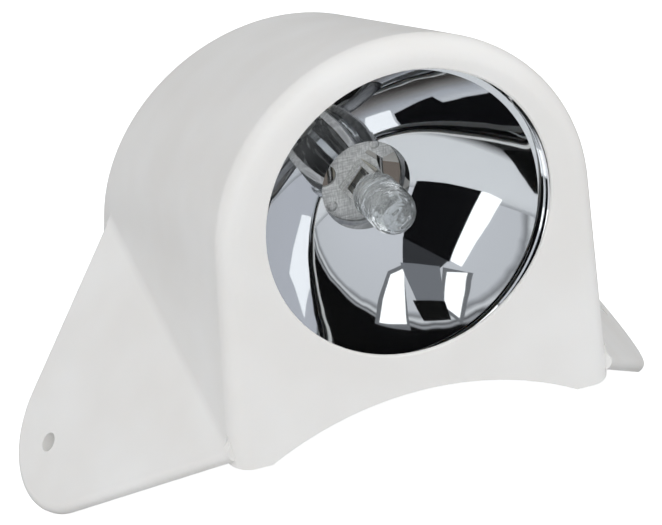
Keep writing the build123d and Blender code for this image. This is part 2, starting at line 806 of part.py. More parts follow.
with BuildPart() as plate_rivets:
    for angle in rivet_angles:
        x = rivet_circle * cos(radians(angle))
        y = rivet_circle * sin(radians(angle))
        with BuildSketch(lamp.offset(-neck_end + sheet)):
            with Locations((x, y)):
                Circle(rivet_radius)
        extrude(amount=-sheet - plate_thickness)
        with BuildSketch(lamp.offset(-neck_end + sheet)):
            with Locations((x, y)):
                Circle(rivet_head_radius)
        extrude(amount=rivet_head_height, taper=20)
        with BuildSketch(lamp.offset(-seat_depth)):
            with Locations((x, y)):
                Circle(rivet_head_radius)
        extrude(amount=-rivet_head_height, taper=20)
plate_rivets.part.label = "plate_rivets"
export_step(plate_rivets.part, "parts/plate_rivets.step")

with BuildPart() as bulb_clip:
    foot = clip_half_width + clip_finger
    with BuildLine() as clip_line:
        FilletPolyline(
            lamp_point(-foot, clip_end, wire_depth),
            lamp_point(-clip_half_width, clip_end, wire_depth),
            lamp_point(-clip_half_width, hinge_place, wire_depth),
            lamp_point(clip_half_width, hinge_place, wire_depth),
            lamp_point(clip_half_width, clip_end, wire_depth),
            lamp_point(foot, clip_end, wire_depth),
            radius=clip_bend,
        )
    free_end = lamp_point(-foot, clip_end, wire_depth)
    with BuildSketch(Plane(origin=free_end, x_dir=lamp.y_dir, z_dir=lamp.x_dir)):
        Circle(wire_radius)
    sweep(path=clip_line.line)
bulb_clip.part.label = "bulb_clip"
export_step(bulb_clip.part, "parts/bulb_clip.step")

with BuildPart() as earth_tab:
    # Foot on the plate and an upright blade
    with BuildSketch(lamp.offset(-seat_depth)):
        with Locations((-tab_place - tab_thickness / 2, 0)):
            Rectangle(tab_foot, tab_width, align=(Align.MIN, Align.CENTER))
    extrude(amount=-tab_thickness)
    with BuildSketch(lamp.offset(-seat_depth)):
        with Locations((-tab_place, 0)):
            Rectangle(tab_thickness, tab_width)
    extrude(amount=-tab_height)
    tip = earth_tab.edges().filter_by(Axis(lamp.origin, lamp.x_dir)).sort_by(lamp_axis)[:2]
    chamfer(tip, tab_thickness)
earth_tab.part.label = "earth_tab"
export_step(earth_tab.part, "parts/earth_tab.step")

with BuildPart() as earth_sleeve:
    with BuildSketch(lamp.offset(-sleeve_front)):
        with Locations((-tab_place, 0)):
            RectangleRounded(tab_thickness + 3 * sleeve_wall, tab_width + 2 * sleeve_wall, sleeve_wall)
    extrude(amount=-sleeve_length)
    with BuildSketch(lamp.offset(-sleeve_front)):
        with Locations((-tab_place, 0)):
            Rectangle(tab_thickness, tab_width)
    extrude(amount=sleeve_front - seat_depth - tab_height, mode=Mode.SUBTRACT)
    with BuildSketch(lamp.offset(-seat_depth - tab_height)):
        with Locations((-tab_place, 0)):
            Circle(lead_radius)
    extrude(amount=-sleeve_length, mode=Mode.SUBTRACT)
earth_sleeve.part.label = "earth_sleeve"
export_step(earth_sleeve.part, "parts/earth_sleeve.step")

lead_end = block_front + block_length / 2 - lead_end_gap
run_start = block_front - lead_run
with BuildPart() as feed_lead:
    with BuildLine() as feed_line:
        run_route((
            lamp_point(0, 0, barrel_back - barrel_grip),
            lamp_point(0, 0, boot_back + feed_rise),
            (tube_pitch / 2, run_start, tube_level),
            (tube_pitch / 2, lead_end, tube_level),
        ))
    with BuildSketch(lamp.offset(barrel_grip - barrel_back)):
        Circle(lead_radius)
    sweep(path=feed_line.line)
feed_lead.part.label = "feed_lead"
export_step(feed_lead.part, "parts/feed_lead.step")

with BuildPart() as earth_lead:
    with BuildLine() as earth_line:
        run_route((
            lamp_point(-tab_place, 0, seat_depth + tab_height),
            lamp_point(-tab_place, 0, sleeve_back + earth_rise),
            (-tube_pitch / 2, run_start - lead_run / 2, tube_level),
            (-tube_pitch / 2, lead_end, tube_level),
        ))
    with BuildSketch(lamp.offset(-seat_depth - tab_height)):
        with Locations((-tab_place, 0)):
            Circle(lead_radius)
    sweep(path=earth_line.line)
earth_lead.part.label = "earth_lead"
export_step(earth_lead.part, "parts/earth_lead.step")
for lead, line in ((feed_lead, feed_line), (earth_lead, earth_line)):
    length = sum(edge.length for edge in line.edges())
    print(lead.part.label, "length", round(length, 1), "volume", round(lead.part.volume, 1))
    print("section by length", round(length * pi * lead_radius**2, 1))

clamp_bottom = tube_level + lead_radius
clamp_places = [
    (side * tube_pitch / 2, place)
    for side in (-1, 1)
    for place in (block_front + clamp_inset, block_front + block_length - clamp_inset)
]
with BuildPart() as terminal_block:
    with BuildSketch(Plane.XY.offset(shelf_top)):
        with Locations((0, block_front + block_length / 2)):
            RectangleRounded(2 * block_half_width, block_length, block_round)
    extrude(amount=block_height)
    with BuildSketch(Plane.XZ.offset(-block_front)):
        with Locations((-tube_pitch / 2, tube_level), (tube_pitch / 2, tube_level)):
            Circle(tube_radius)
    extrude(amount=-block_length, mode=Mode.SUBTRACT)
    with BuildSketch(Plane.XY.offset(block_top)):
        with Locations(*clamp_places):
            Circle(clamp_radius + clamp_well_gap)
        with Locations((0, block_front + block_length / 2)):
            Circle(screw_radius)
    extrude(amount=-block_height / 2, mode=Mode.SUBTRACT)
    with BuildSketch(Plane.XY.offset(block_top)):
        with Locations((0, block_front + block_length / 2)):
            Circle(screw_radius)
    extrude(amount=-block_height, mode=Mode.SUBTRACT)
terminal_block.part.label = "terminal_block"
export_step(terminal_block.part, "parts/terminal_block.step")

with BuildPart() as block_tubes:
    with BuildSketch(Plane.XZ.offset(-block_front - tube_inset)):
        with Locations((-tube_pitch / 2, tube_level), (tube_pitch / 2, tube_level)):
            Circle(tube_radius)
            Circle(tube_bore, mode=Mode.SUBTRACT)
    extrude(amount=2 * tube_inset - block_length)
    with BuildSketch(Plane.XY.offset(tube_level)):
        with Locations(*clamp_places):
            Circle(clamp_radius)
    extrude(amount=block_height / 2, mode=Mode.SUBTRACT)
block_tubes.part.label = "block_tubes"
export_step(block_tubes.part, "parts/block_tubes.step")

with BuildPart() as clamp_screws:
    with BuildSketch(Plane.XY.offset(clamp_bottom)):
        with Locations(*clamp_places):
            Circle(clamp_radius)
    extrude(amount=clamp_length)
    with BuildSketch(Plane.XY.offset(clamp_bottom + clamp_length)):
        with Locations(*clamp_places):
            Rectangle(screw_slot, 3 * clamp_radius)
    extrude(amount=-clamp_radius / 2, mode=Mode.SUBTRACT)
clamp_screws.part.label = "clamp_screws"
export_step(clamp_screws.part, "parts/clamp_screws.step")

with BuildPart() as block_screw:
    head_seat = (0, block_front + block_length / 2)
    with BuildSketch(Plane.XY.offset(block_top)):
        with Locations(head_seat):
            Circle(screw_radius)
    extrude(amount=-block_height - shelf_thickness)
    with BuildSketch(Plane.XY.offset(block_top)):
        with Locations(head_seat):
            Circle(screw_head_radius)
    extrude(amount=block_screw_head)
    with BuildSketch(Plane.XY.offset(block_top + block_screw_head)):
        with Locations(head_seat):
            Rectangle(screw_slot, 3 * screw_head_radius)
    extrude(amount=-block_screw_head / 2, mode=Mode.SUBTRACT)
block_screw.part.label = "block_screw"
export_step(block_screw.part, "parts/block_screw.step")

with BuildPart() as cable_grommet:
    # A collar through the wall between two chamfered flanges
    entry = Plane(origin=(0, back_place, grommet_level), x_dir=(1, 0, 0), z_dir=(0, 1, 0))
    with BuildSketch(entry):
        Circle(grommet_flange_radius)
    extrude(amount=grommet_flange)
    with BuildSketch(entry.offset(-wall - grommet_flange)):
        Circle(grommet_flange_radius)
    extrude(amount=grommet_flange)
    outer_rims = cable_grommet.edges().filter_by(GeomType.CIRCLE).sort_by(Axis.Y)
    chamfer([outer_rims[0], outer_rims[-1]], grommet_flange / 3)
    with BuildSketch(entry.offset(-wall)):
        Circle(grommet_hole_radius)
    extrude(amount=wall)
    with BuildSketch(entry.offset(grommet_flange)):
        Circle(grommet_bore)
    extrude(amount=-wall - 2 * grommet_flange, mode=Mode.SUBTRACT)
cable_grommet.part.label = "cable_grommet"
export_step(cable_grommet.part, "parts/cable_grommet.step")
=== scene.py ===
"""Dresses the mast deck light for its picture: finishes, fine pieces, studio and camera."""

import json
from math import cos, pi, radians, sin, sqrt

import bpy
from mathutils import Matrix, Vector

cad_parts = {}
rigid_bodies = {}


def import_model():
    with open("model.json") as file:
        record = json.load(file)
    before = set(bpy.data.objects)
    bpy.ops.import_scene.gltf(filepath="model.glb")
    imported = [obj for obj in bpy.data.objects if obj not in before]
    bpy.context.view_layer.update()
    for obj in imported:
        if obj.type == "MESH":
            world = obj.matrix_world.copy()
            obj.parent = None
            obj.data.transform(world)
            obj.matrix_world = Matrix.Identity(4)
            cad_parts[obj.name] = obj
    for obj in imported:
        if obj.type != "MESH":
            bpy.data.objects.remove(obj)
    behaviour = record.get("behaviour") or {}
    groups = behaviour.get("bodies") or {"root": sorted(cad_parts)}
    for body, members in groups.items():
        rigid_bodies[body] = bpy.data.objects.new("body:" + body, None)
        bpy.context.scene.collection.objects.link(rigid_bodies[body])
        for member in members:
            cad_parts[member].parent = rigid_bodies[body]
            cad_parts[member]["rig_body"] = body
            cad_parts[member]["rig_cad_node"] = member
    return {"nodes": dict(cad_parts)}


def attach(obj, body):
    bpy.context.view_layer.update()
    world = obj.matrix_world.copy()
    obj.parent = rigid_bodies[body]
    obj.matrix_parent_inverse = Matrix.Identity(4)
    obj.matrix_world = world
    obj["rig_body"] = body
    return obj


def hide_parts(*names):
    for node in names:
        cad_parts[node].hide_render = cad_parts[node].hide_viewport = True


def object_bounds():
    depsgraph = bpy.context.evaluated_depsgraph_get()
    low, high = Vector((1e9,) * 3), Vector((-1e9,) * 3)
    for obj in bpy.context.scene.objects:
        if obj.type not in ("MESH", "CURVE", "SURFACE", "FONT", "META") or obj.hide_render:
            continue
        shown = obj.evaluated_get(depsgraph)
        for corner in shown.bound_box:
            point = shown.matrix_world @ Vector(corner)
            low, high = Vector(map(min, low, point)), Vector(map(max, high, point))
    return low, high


bl_info = {
    "name": "Mast Deck Light",
    "version": (1, 0, 0),
    "blender": (4, 5, 0),
    "location": "View3D > Sidebar > Deck Light",
    "description": "Builds the finishes, fine pieces and studio of a mast deck light",
    "category": "Object",
}

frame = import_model()
CAD_BOX = [list(corner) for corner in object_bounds()]
NODES = frame["nodes"]

MM = 0.001

# Points closer than the gap become one, and edges steeper than their angle stay sharp
MERGE_GAP = 0.002 * MM
LATHE_ANGLE = radians(35)
CAD_ANGLE = radians(32)
COIL_ANGLE = radians(40)

# The lamp's axis, as the model has it
BEAM_TILT = radians(13.0)
LAMP_PLACE = (-2.0, 10.078, 43.652)
LAMP_RIGHT = Vector((1.0, 0.0, 0.0))
LAMP_UP = Vector((0.0, sin(BEAM_TILT), cos(BEAM_TILT)))
LAMP_OUT = Vector((0.0, -cos(BEAM_TILT), sin(BEAM_TILT)))
LAMP_CENTRE = Vector(LAMP_PLACE) * MM
BULB_TURN = radians(48.5)


def linear(code):
    """Linear colour with alpha 1 from an sRGB hex value such as "E8E6E0"."""
    parts = [int(code[i : i + 2], 16) / 255 for i in (0, 2, 4)]
    return tuple(c / 12.92 if c <= 0.04045 else ((c + 0.055) / 1.055) ** 2.4 for c in parts) + (1.0,)


def lamp_matrix(turn=0.0):
    """Places a piece made about the Z axis, with its front towards +Z, on the lamp's axis."""
    axes = Matrix((LAMP_RIGHT, LAMP_UP, LAMP_OUT)).transposed().to_4x4()
    return Matrix.Translation(LAMP_CENTRE) @ axes @ Matrix.Rotation(turn, 4, "Z")


def add_node(tree, kind, inputs=None, stops=(), **settings):
    """Adds a node with its settings and links.

    An input is a value or another node's output socket. Stops are a colour ramp's places
    and colours, each colour a hex value or a linear one.
    """
    made = tree.nodes.new(kind)
    for name, value in settings.items():
        setattr(made, name, value)
    for name, value in (inputs or {}).items():
        if isinstance(value, bpy.types.NodeSocket):
            tree.links.new(value, made.inputs[name])
        else:
            made.inputs[name].default_value = value
    if stops:
        elements = made.color_ramp.elements
        while len(elements) < len(stops):
            elements.new(0.5)
        for element, (place, colour) in zip(elements, stops):
            element.position = place
            element.color = linear(colour) if isinstance(colour, str) else colour
    return made


def new_material(name, shader_inputs):
    """A material with a Principled shader. Returns it with its tree and shader."""
    material = bpy.data.materials.new(name)
    material.use_nodes = True
    tree = material.node_tree
    tree.nodes.clear()
    principled = add_node(tree, "ShaderNodeBsdfPrincipled", shader_inputs)
    add_node(tree, "ShaderNodeOutputMaterial", {"Surface": principled.outputs["BSDF"]})
    return material, tree, principled


def lumps(tree, size_mm, detail=3.0, roughness=0.5, stretch=(1.0, 1.0, 1.0)):
    """Pattern on object coordinates whose lumps are about size_mm across."""
    place = add_node(tree, "ShaderNodeTexCoord")
    mapping = add_node(tree, "ShaderNodeMapping", {"Vector": place.outputs["Object"], "Scale": stretch})
    noise = add_node(
        tree, "ShaderNodeTexNoise",
        {
            "Vector": mapping.outputs["Vector"],
            "Scale": 1 / (size_mm * MM),
            "Detail": detail,
            "Roughness": roughness,
        },
    )
    return noise.outputs["Fac"]


def white_plastic(colours):
    """White weather-resistant plastic, moulded satin: a soft even sheen over a fine grain."""
    material, tree, skin = new_material(
        "white_moulded_plastic_satin",
        {
            "Roughness": 0.42,
            "IOR": 1.5,
            "Subsurface Weight": 0.08,
            "Subsurface Radius": (0.003, 0.0025, 0.002),
            "Subsurface Scale": 0.5,
        },
    )
    tone = add_node(
        tree, "ShaderNodeValToRGB", {"Fac": lumps(tree, size_mm=30.0, detail=2.0)},
        stops=[(0.35, colours.housing_shade), (0.65, colours.housing_light)],
    )
    tree.links.new(tone.outputs["Color"], skin.inputs["Base Color"])
    grain = lumps(tree, size_mm=0.5, detail=2.0)
    bump = add_node(tree, "ShaderNodeBump", {"Height": grain, "Strength": 0.12, "Distance": 0.05 * MM})
    tree.links.new(bump.outputs["Normal"], skin.inputs["Normal"])
    return material


def mirror_chrome(colours):
    """Aluminium vapour on lacquered steel: a clean mirror with slight spinning ripples."""
    material, tree, coat = new_material("vapour_metallised_reflector", {"Metallic": 1.0, "Roughness": 0.03})
    coat.inputs["Base Color"].default_value = colours.bowl_tone
    ripple = lumps(tree, size_mm=11.0, detail=1.0)
    bump = add_node(tree, "ShaderNodeBump", {"Height": ripple, "Strength": 0.3, "Distance": 0.15 * MM})
    tree.links.new(bump.outputs["Normal"], coat.inputs["Normal"])
    return material


def quartz_glass(name, clearness, wave):
    """Worked quartz: clear or a little milky, with soft waves in its skin."""
    material, tree, glass = new_material(
        name,
        {
            "Base Color": linear("F8FAFA"),
            "Roughness": 0.02,
            "IOR": 1.46,
            "Transmission Weight": clearness,
        },
    )
    waves = lumps(tree, size_mm=2.4, detail=1.0)
    bump = add_node(tree, "ShaderNodeBump", {"Height": waves, "Strength": wave, "Distance": 0.5 * MM})
    tree.links.new(bump.outputs["Normal"], glass.inputs["Normal"])
    return material


def folded_foil():
    """Molybdenum foil, creased: dark, with fine bright lines along the bulb."""
    material, tree, foil = new_material("molybdenum_foil_creased", {"Metallic": 0.6, "Roughness": 0.45})
    crease = lumps(tree, size_mm=0.45, detail=1.0, stretch=(1.0, 0.12, 1.0))
    tone = add_node(
        tree, "ShaderNodeValToRGB", {"Fac": crease},
        stops=[(0.5, "1A1918"), (0.58, "4A4846"), (0.66, "C9C8C5")],
    )
    tree.links.new(tone.outputs["Color"], foil.inputs["Base Color"])
    bump = add_node(tree, "ShaderNodeBump", {"Height": crease, "Strength": 0.5, "Distance": 0.1 * MM})
    tree.links.new(bump.outputs["Normal"], foil.inputs["Normal"])
    return material


def scratched_cap(colours):
    """Nickel-plated cap, handled: pale and half dull, with fine crossed scratches."""
    material, tree, metal = new_material(
        "nickel_plated_cap_scratched", {"Metallic": 0.3, "Roughness": 0.4}
    )
    across = lumps(tree, size_mm=0.4, detail=2.0, stretch=(0.1, 1.0, 1.0))
    along = lumps(tree, size_mm=0.4, detail=2.0, stretch=(1.0, 1.0, 0.1))
    both = add_node(tree, "ShaderNodeMath", {0: across, 1: along}, operation="MULTIPLY")
    tone = add_node(
        tree, "ShaderNodeValToRGB", {"Fac": both.outputs["Value"]},
        stops=[(0.15, colours.cap_shade), (0.36, colours.cap_light)],
    )
    tree.links.new(tone.outputs["Color"], metal.inputs["Base Color"])
    bump = add_node(
        tree, "ShaderNodeBump", {"Height": both.outputs["Value"], "Strength": 0.5, "Distance": 0.1 * MM}
    )
    tree.links.new(bump.outputs["Normal"], metal.inputs["Normal"])
    return material


def clear_lens_glass():
    """Clear pressed glass, polished: seen through, with a faint gloss towards its edge."""
    material = bpy.data.materials.new("clear_pressed_glass")
    material.use_nodes = True
    tree = material.node_tree
    tree.nodes.clear()
    clear = add_node(tree, "ShaderNodeBsdfTransparent", {"Color": linear("FCFDFD")})
    gloss = add_node(tree, "ShaderNodeBsdfGlossy", {"Color": linear("FFFFFF"), "Roughness": 0.02})
    edge = add_node(tree, "ShaderNodeFresnel", {"IOR": 1.06})
    path = add_node(tree, "ShaderNodeLightPath")
    # Rays on their way out of the bowl pass, so that no total reflection rings the rim.
    seen = add_node(
        tree, "ShaderNodeMath",
        {0: edge.outputs["Fac"], 1: path.outputs["Is Camera Ray"]}, operation="MULTIPLY",
    )
    mixed = add_node(
        tree, "ShaderNodeMixShader",
        {"Fac": seen.outputs["Value"], 1: clear.outputs["BSDF"], 2: gloss.outputs["BSDF"]},
    )
    add_node(tree, "ShaderNodeOutputMaterial", {"Surface": mixed.outputs["Shader"]})
    return material


def plain_metal(name, low, high, roughness, grain, bump):
    """Bare or plated metal whose tone drifts a little with its grain, which is in millimetres."""
    material, tree, metal = new_material(name, {"Metallic": 1.0, "Roughness": roughness})
    pattern = lumps(tree, size_mm=grain, detail=4.0, roughness=0.6)
    tone = add_node(tree, "ShaderNodeValToRGB", {"Fac": pattern}, stops=[(0.3, low), (0.7, high)])
    tree.links.new(tone.outputs["Color"], metal.inputs["Base Color"])
    relief = add_node(tree, "ShaderNodeBump", {"Height": pattern, "Strength": bump, "Distance": 0.05 * MM})
    tree.links.new(relief.outputs["Normal"], metal.inputs["Normal"])
    return material


def plain_plastic(name, low, high, roughness, grain, bump):
    """Plastic, rubber, ceramic or lead insulation with a dull grain, which is in millimetres."""
    material, tree, body = new_material(name, {"Roughness": roughness, "IOR": 1.47})
    pattern = lumps(tree, size_mm=grain)
    tone = add_node(tree, "ShaderNodeValToRGB", {"Fac": pattern}, stops=[(0.3, low), (0.7, high)])
    tree.links.new(tone.outputs["Color"], body.inputs["Base Color"])
    relief = add_node(tree, "ShaderNodeBump", {"Height": pattern, "Strength": bump, "Distance": 0.05 * MM})
    tree.links.new(relief.outputs["Normal"], body.inputs["Normal"])
    return material


def give(obj, material):
    """One material all over an object."""
    obj.data.materials.clear()
    obj.data.materials.append(material)


def select_only(obj):
    """Leaves one object selected and active."""
    bpy.ops.object.select_all(action="DESELECT")
    obj.select_set(True)
    bpy.context.view_layer.objects.active = obj


def join(pieces, name):
    """Joins pieces into the last one, under a new name."""
    select_only(pieces[-1])
    for piece in pieces:
        piece.select_set(True)
    bpy.ops.object.join()
    joined = pieces[-1]
    joined.name = name
    joined.data.name = name
    return joined


def settle(obj, matrix):
    """Puts a piece in its place with its object left at the origin."""
    select_only(obj)
    bpy.ops.object.transform_apply(location=True, rotation=True, scale=True)
    obj.matrix_world = matrix
    bpy.ops.object.transform_apply(location=True, rotation=True, scale=True)


def turned(name, profile, segments, matrix, closed=True):
    """Lathe: a ring is extruded and resized along a profile of (radius, depth) in mm."""
    bpy.ops.object.select_all(action="DESELECT")
    first_radius, first_depth = profile[0]
    bpy.ops.mesh.primitive_circle_add(
        vertices=segments, radius=first_radius * MM, location=(0, 0, -first_depth * MM)
    )
    piece = bpy.context.object
    piece.name = name
    piece.data.name = name
    bpy.ops.object.mode_set(mode="EDIT")
    bpy.ops.mesh.select_all(action="SELECT")
    points = profile[1:] + ([profile[0]] if closed else [])
    radius, depth = first_radius, first_depth
    for next_radius, next_depth in points:
        bpy.ops.mesh.extrude_region_move(
            TRANSFORM_OT_translate={"value": (0, 0, (depth - next_depth) * MM)}
        )
        scale = next_radius / radius
        bpy.ops.transform.resize(value=(scale, scale, 1), center_override=(0, 0, -next_depth * MM))
        radius, depth = next_radius, next_depth
    bpy.ops.mesh.select_all(action="SELECT")
    bpy.ops.mesh.remove_doubles(threshold=MERGE_GAP)
    bpy.ops.mesh.normals_make_consistent(inside=False)
    bpy.ops.object.mode_set(mode="OBJECT")
    settle(piece, matrix)
    bpy.ops.object.shade_smooth_by_angle(angle=LATHE_ANGLE)
    return piece


def merged_copy(node, name):
    """A copy of a CAD node with its loose triangles joined and its steep edges sharp."""
    piece = NODES[node].copy()
    piece.data = NODES[node].data.copy()
    piece.name = name
    piece.data.name = name
    piece.parent = None
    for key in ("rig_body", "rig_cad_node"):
        if key in piece:
            del piece[key]
    bpy.context.scene.collection.objects.link(piece)
    select_only(piece)
    bpy.ops.object.mode_set(mode="EDIT")
    bpy.ops.mesh.select_all(action="SELECT")
    bpy.ops.mesh.remove_doubles(threshold=MERGE_GAP)
    bpy.ops.mesh.select_mode(type="EDGE")
    bpy.ops.mesh.select_all(action="DESELECT")
    bpy.ops.mesh.edges_select_sharp(sharpness=CAD_ANGLE)
    bpy.ops.mesh.mark_sharp()
    bpy.ops.mesh.select_mode(type="VERT")
    bpy.ops.object.mode_set(mode="OBJECT")
    bpy.ops.object.shade_smooth_by_angle(angle=CAD_ANGLE)
    # The largest faces set the normals, so that flats stay flat beside their fillets.
    even = piece.modifiers.new("even_normals", "WEIGHTED_NORMAL")
    even.keep_sharp = True
    even.weight = 100
    bpy.ops.object.modifier_apply(modifier=even.name)
    return piece


class LampSizes(bpy.types.PropertyGroup):
    """Sizes and counts of the lamp's fine pieces that a user would change."""

    bowl_rings: bpy.props.IntProperty(
        name="Bowl Rings", description="Rings along the reflector's bowl", default=48, min=8
    )
    bowl_segments: bpy.props.IntProperty(
        name="Bowl Segments", description="Segments round the reflector", default=192, min=24
    )
    rib_depth: bpy.props.FloatProperty(
        name="Rib Depth", description="Depth of the ribs at the capsule's shoulder",
        default=0.7 * MM, min=0.0, unit="LENGTH"
    )
    tip_ring_depth: bpy.props.FloatProperty(
        name="Tip Ring Depth", description="Depth of the rings at the capsule's tip",
        default=0.35 * MM, min=0.0, unit="LENGTH"
    )
    coil_turns: bpy.props.IntProperty(
        name="Coil Turns", description="Turns of the bulb's coil", default=9, min=1
    )
    window_width: bpy.props.FloatProperty(
        name="Window Width", description="Width of the window through the bulb's cage",
        default=6.4 * MM, min=0.0, unit="LENGTH"
    )
    window_height: bpy.props.FloatProperty(
        name="Window Height", description="Height of the window through the bulb's cage",
        default=7.0 * MM, min=0.0, unit="LENGTH"
    )


class LampColours(bpy.types.PropertyGroup):
    """Colours of the lamp that a user would change."""

    housing_shade: bpy.props.FloatVectorProperty(
        name="Housing Shade", description="Darker tone of the housing's plastic",
        subtype="COLOR", size=4, min=0.0, max=1.0, default=linear("E9E7E3")
    )
    housing_light: bpy.props.FloatVectorProperty(
        name="Housing Light", description="Lighter tone of the housing's plastic",
        subtype="COLOR", size=4, min=0.0, max=1.0, default=linear("EEEDEA")
    )
    bowl_tone: bpy.props.FloatVectorProperty(
        name="Bowl Tone", description="Tone of the reflector's mirror",
        subtype="COLOR", size=4, min=0.0, max=1.0, default=linear("E4E5E8")
    )
    cap_shade: bpy.props.FloatVectorProperty(
        name="Cap Shade", description="Tone of the scratches on the bulb's cap",
        subtype="COLOR", size=4, min=0.0, max=1.0, default=linear("B4B4B4")
    )
    cap_light: bpy.props.FloatVectorProperty(
        name="Cap Light", description="Tone between the scratches on the bulb's cap",
        subtype="COLOR", size=4, min=0.0, max=1.0, default=linear("E0E0DF")
    )


class OBJECT_OT_housing(bpy.types.Operator):
    """White moulded housing with its ears"""

    bl_idname = "deck_light.housing"
    bl_label = "Housing"

    def execute(self, context):
        piece = merged_copy("housing", "housing_shell")
        give(piece, white_plastic(context.scene.lamp_colours))
        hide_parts("housing")
        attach(piece, "light")
        return {"FINISHED"}


# Reflector, in millimetres about the lamp's axis
MOUTH_RADIUS = 36.2
SHELF_DEPTH = 4.2
STEP_RADIUS = 38.0
FLANGE_RADIUS = 40.2
FLANGE_DEPTH = 2.0
SHEET = 1.0
NECK_RADIUS = 11.3
NECK_FLANGE_RADIUS = 17.5
NECK_END = 28.3
FILAMENT_DEPTH = 11.3
EDGE_BREAK = 0.3
BACK_OUT = 0.75
BACK_DOWN = 0.65
BACK_FROM_NECK = 1.5
RINGS_PER_BACK_RING = 4


def bowl_depth(radius):
    """Depth of the reflecting surface, a paraboloid with its focus at the filament."""
    gap = FILAMENT_DEPTH - SHELF_DEPTH
    focal = (sqrt(gap**2 + MOUTH_RADIUS**2) - gap) / 2
    return FILAMENT_DEPTH + focal - radius**2 / (4 * focal)


class OBJECT_OT_reflector(bpy.types.Operator):
    """Spun bowl with shelf, flange and neck, fine enough for a mirror"""

    bl_idname = "deck_light.reflector"
    bl_label = "Reflector"

    def execute(self, context):
        sizes = context.scene.lamp_sizes
        bowl = []
        for i in range(sizes.bowl_rings + 1):
            radius = NECK_RADIUS + (MOUTH_RADIUS - NECK_RADIUS) * i / sizes.bowl_rings
            bowl.append((radius, bowl_depth(radius)))
        flange = [
            (STEP_RADIUS - EDGE_BREAK, SHELF_DEPTH),
            (STEP_RADIUS, SHELF_DEPTH - EDGE_BREAK),
            (STEP_RADIUS, FLANGE_DEPTH + EDGE_BREAK),
            (STEP_RADIUS + EDGE_BREAK, FLANGE_DEPTH),
            (FLANGE_RADIUS, FLANGE_DEPTH),
            (FLANGE_RADIUS, FLANGE_DEPTH + SHEET),
            (STEP_RADIUS + SHEET, FLANGE_DEPTH + SHEET),
            (STEP_RADIUS + SHEET, SHELF_DEPTH + SHEET),
        ]
        back = [
            (radius + BACK_OUT, depth + BACK_DOWN)
            for radius, depth in bowl[::-RINGS_PER_BACK_RING]
            if radius > NECK_RADIUS + BACK_FROM_NECK
        ]
        neck = [
            (NECK_RADIUS + SHEET, bowl_depth(NECK_RADIUS) + SHEET),
            (NECK_RADIUS + SHEET, NECK_END - SHEET),
            (NECK_FLANGE_RADIUS, NECK_END - SHEET),
            (NECK_FLANGE_RADIUS, NECK_END),
            (NECK_RADIUS, NECK_END),
        ]
        profile = bowl + flange + back + neck
        piece = turned("reflector_bowl", profile, sizes.bowl_segments, lamp_matrix())
        give(piece, mirror_chrome(context.scene.lamp_colours))
        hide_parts("reflector")
        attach(piece, "light")
        return {"FINISHED"}


# Lens, in millimetres. A ring as small as the pole's closes when its points are merged.
LENS_RADIUS = 37.8
LENS_THICKNESS = 2.0
LENS_CROWN = 4.0
LENS_POLE = 0.001
LENS_FRONT_BREAK = 0.3
LENS_BACK_BREAK = 0.02
LENS_STEPS = 20
LENS_SEGMENTS = 96


class OBJECT_OT_lens(bpy.types.Operator):
    """Clear, slightly domed lens with a ground edge"""

    bl_idname = "deck_light.lens"
    bl_label = "Lens"

    def execute(self, context):
        crown = (LENS_RADIUS**2 + LENS_CROWN**2) / (2 * LENS_CROWN)
        front_depth = SHELF_DEPTH - LENS_THICKNESS

        def sag(radius):
            return sqrt(crown**2 - radius**2) - sqrt(crown**2 - LENS_RADIUS**2)

        reach = LENS_RADIUS - LENS_FRONT_BREAK
        radii = [LENS_POLE + reach * i / LENS_STEPS for i in range(LENS_STEPS + 1)]
        front = [(r, front_depth - sag(r)) for r in radii]
        back = [(r, SHELF_DEPTH - sag(r)) for r in reversed(radii)]
        edge = [(LENS_RADIUS, front_depth + LENS_FRONT_BREAK), (LENS_RADIUS, SHELF_DEPTH - LENS_BACK_BREAK)]
        piece = turned("lens_glass", front + edge + back, LENS_SEGMENTS, lamp_matrix())
        give(piece, clear_lens_glass())
        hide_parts("lens")
        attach(piece, "light")
        return {"FINISHED"}


# Bulb capsule, in millimetres behind the front plane. A dome's pole is its share left out.
CAPSULE_RADIUS = 5.7
CAPSULE_INNER = 4.8
CAPSULE_DOME = 7.0
CAPSULE_SHOULDER = 18.7
CAPSULE_INNER_END = 16.9
CAPSULE_STEPS = 24
CAPSULE_SEGMENTS = 64
DOME_POLE = 0.02
WALL_END_RADIUS = 0.1
SHOULDER_BREAK = 0.3
INNER_BREAK = 0.6
RIB_DEPTHS = (13.6, 15.2, 16.8)
RIB_HALF_WIDTH = 0.7
TIP_RINGS = 3

# Pinch below it, where the quartz is pressed flat on the foils
PINCH_WIDTH = 7.6
PINCH_THICKNESS = 3.2
PINCH_END = 31.0
PINCH_GAP = 0.05
PINCH_ROUND = 0.5
PINCH_ROUND_SEGMENTS = 3


def capsule_outside(sizes):
    """Profile of the capsule's outer wall: ringed tip, straight side, ribs and shoulder."""
    rib, tip_ring = sizes.rib_depth / MM, sizes.tip_ring_depth / MM
    outer = []
    for i in range(CAPSULE_STEPS + 1):
        angle = pi / 2 * (DOME_POLE + (1 - DOME_POLE) * i / CAPSULE_STEPS)
        ring = tip_ring * (1 - cos(4 * angle * TIP_RINGS)) / 2 * cos(angle)
        radius = CAPSULE_RADIUS - ring
        outer.append((radius * sin(angle), CAPSULE_DOME - radius * cos(angle)))
    for depth in RIB_DEPTHS:
        outer += [
            (CAPSULE_RADIUS, depth - RIB_HALF_WIDTH),
            (CAPSULE_RADIUS - rib, depth),
            (CAPSULE_RADIUS, depth + RIB_HALF_WIDTH),
        ]
    return outer + [(CAPSULE_RADIUS - SHOULDER_BREAK, CAPSULE_SHOULDER), (WALL_END_RADIUS, CAPSULE_SHOULDER)]


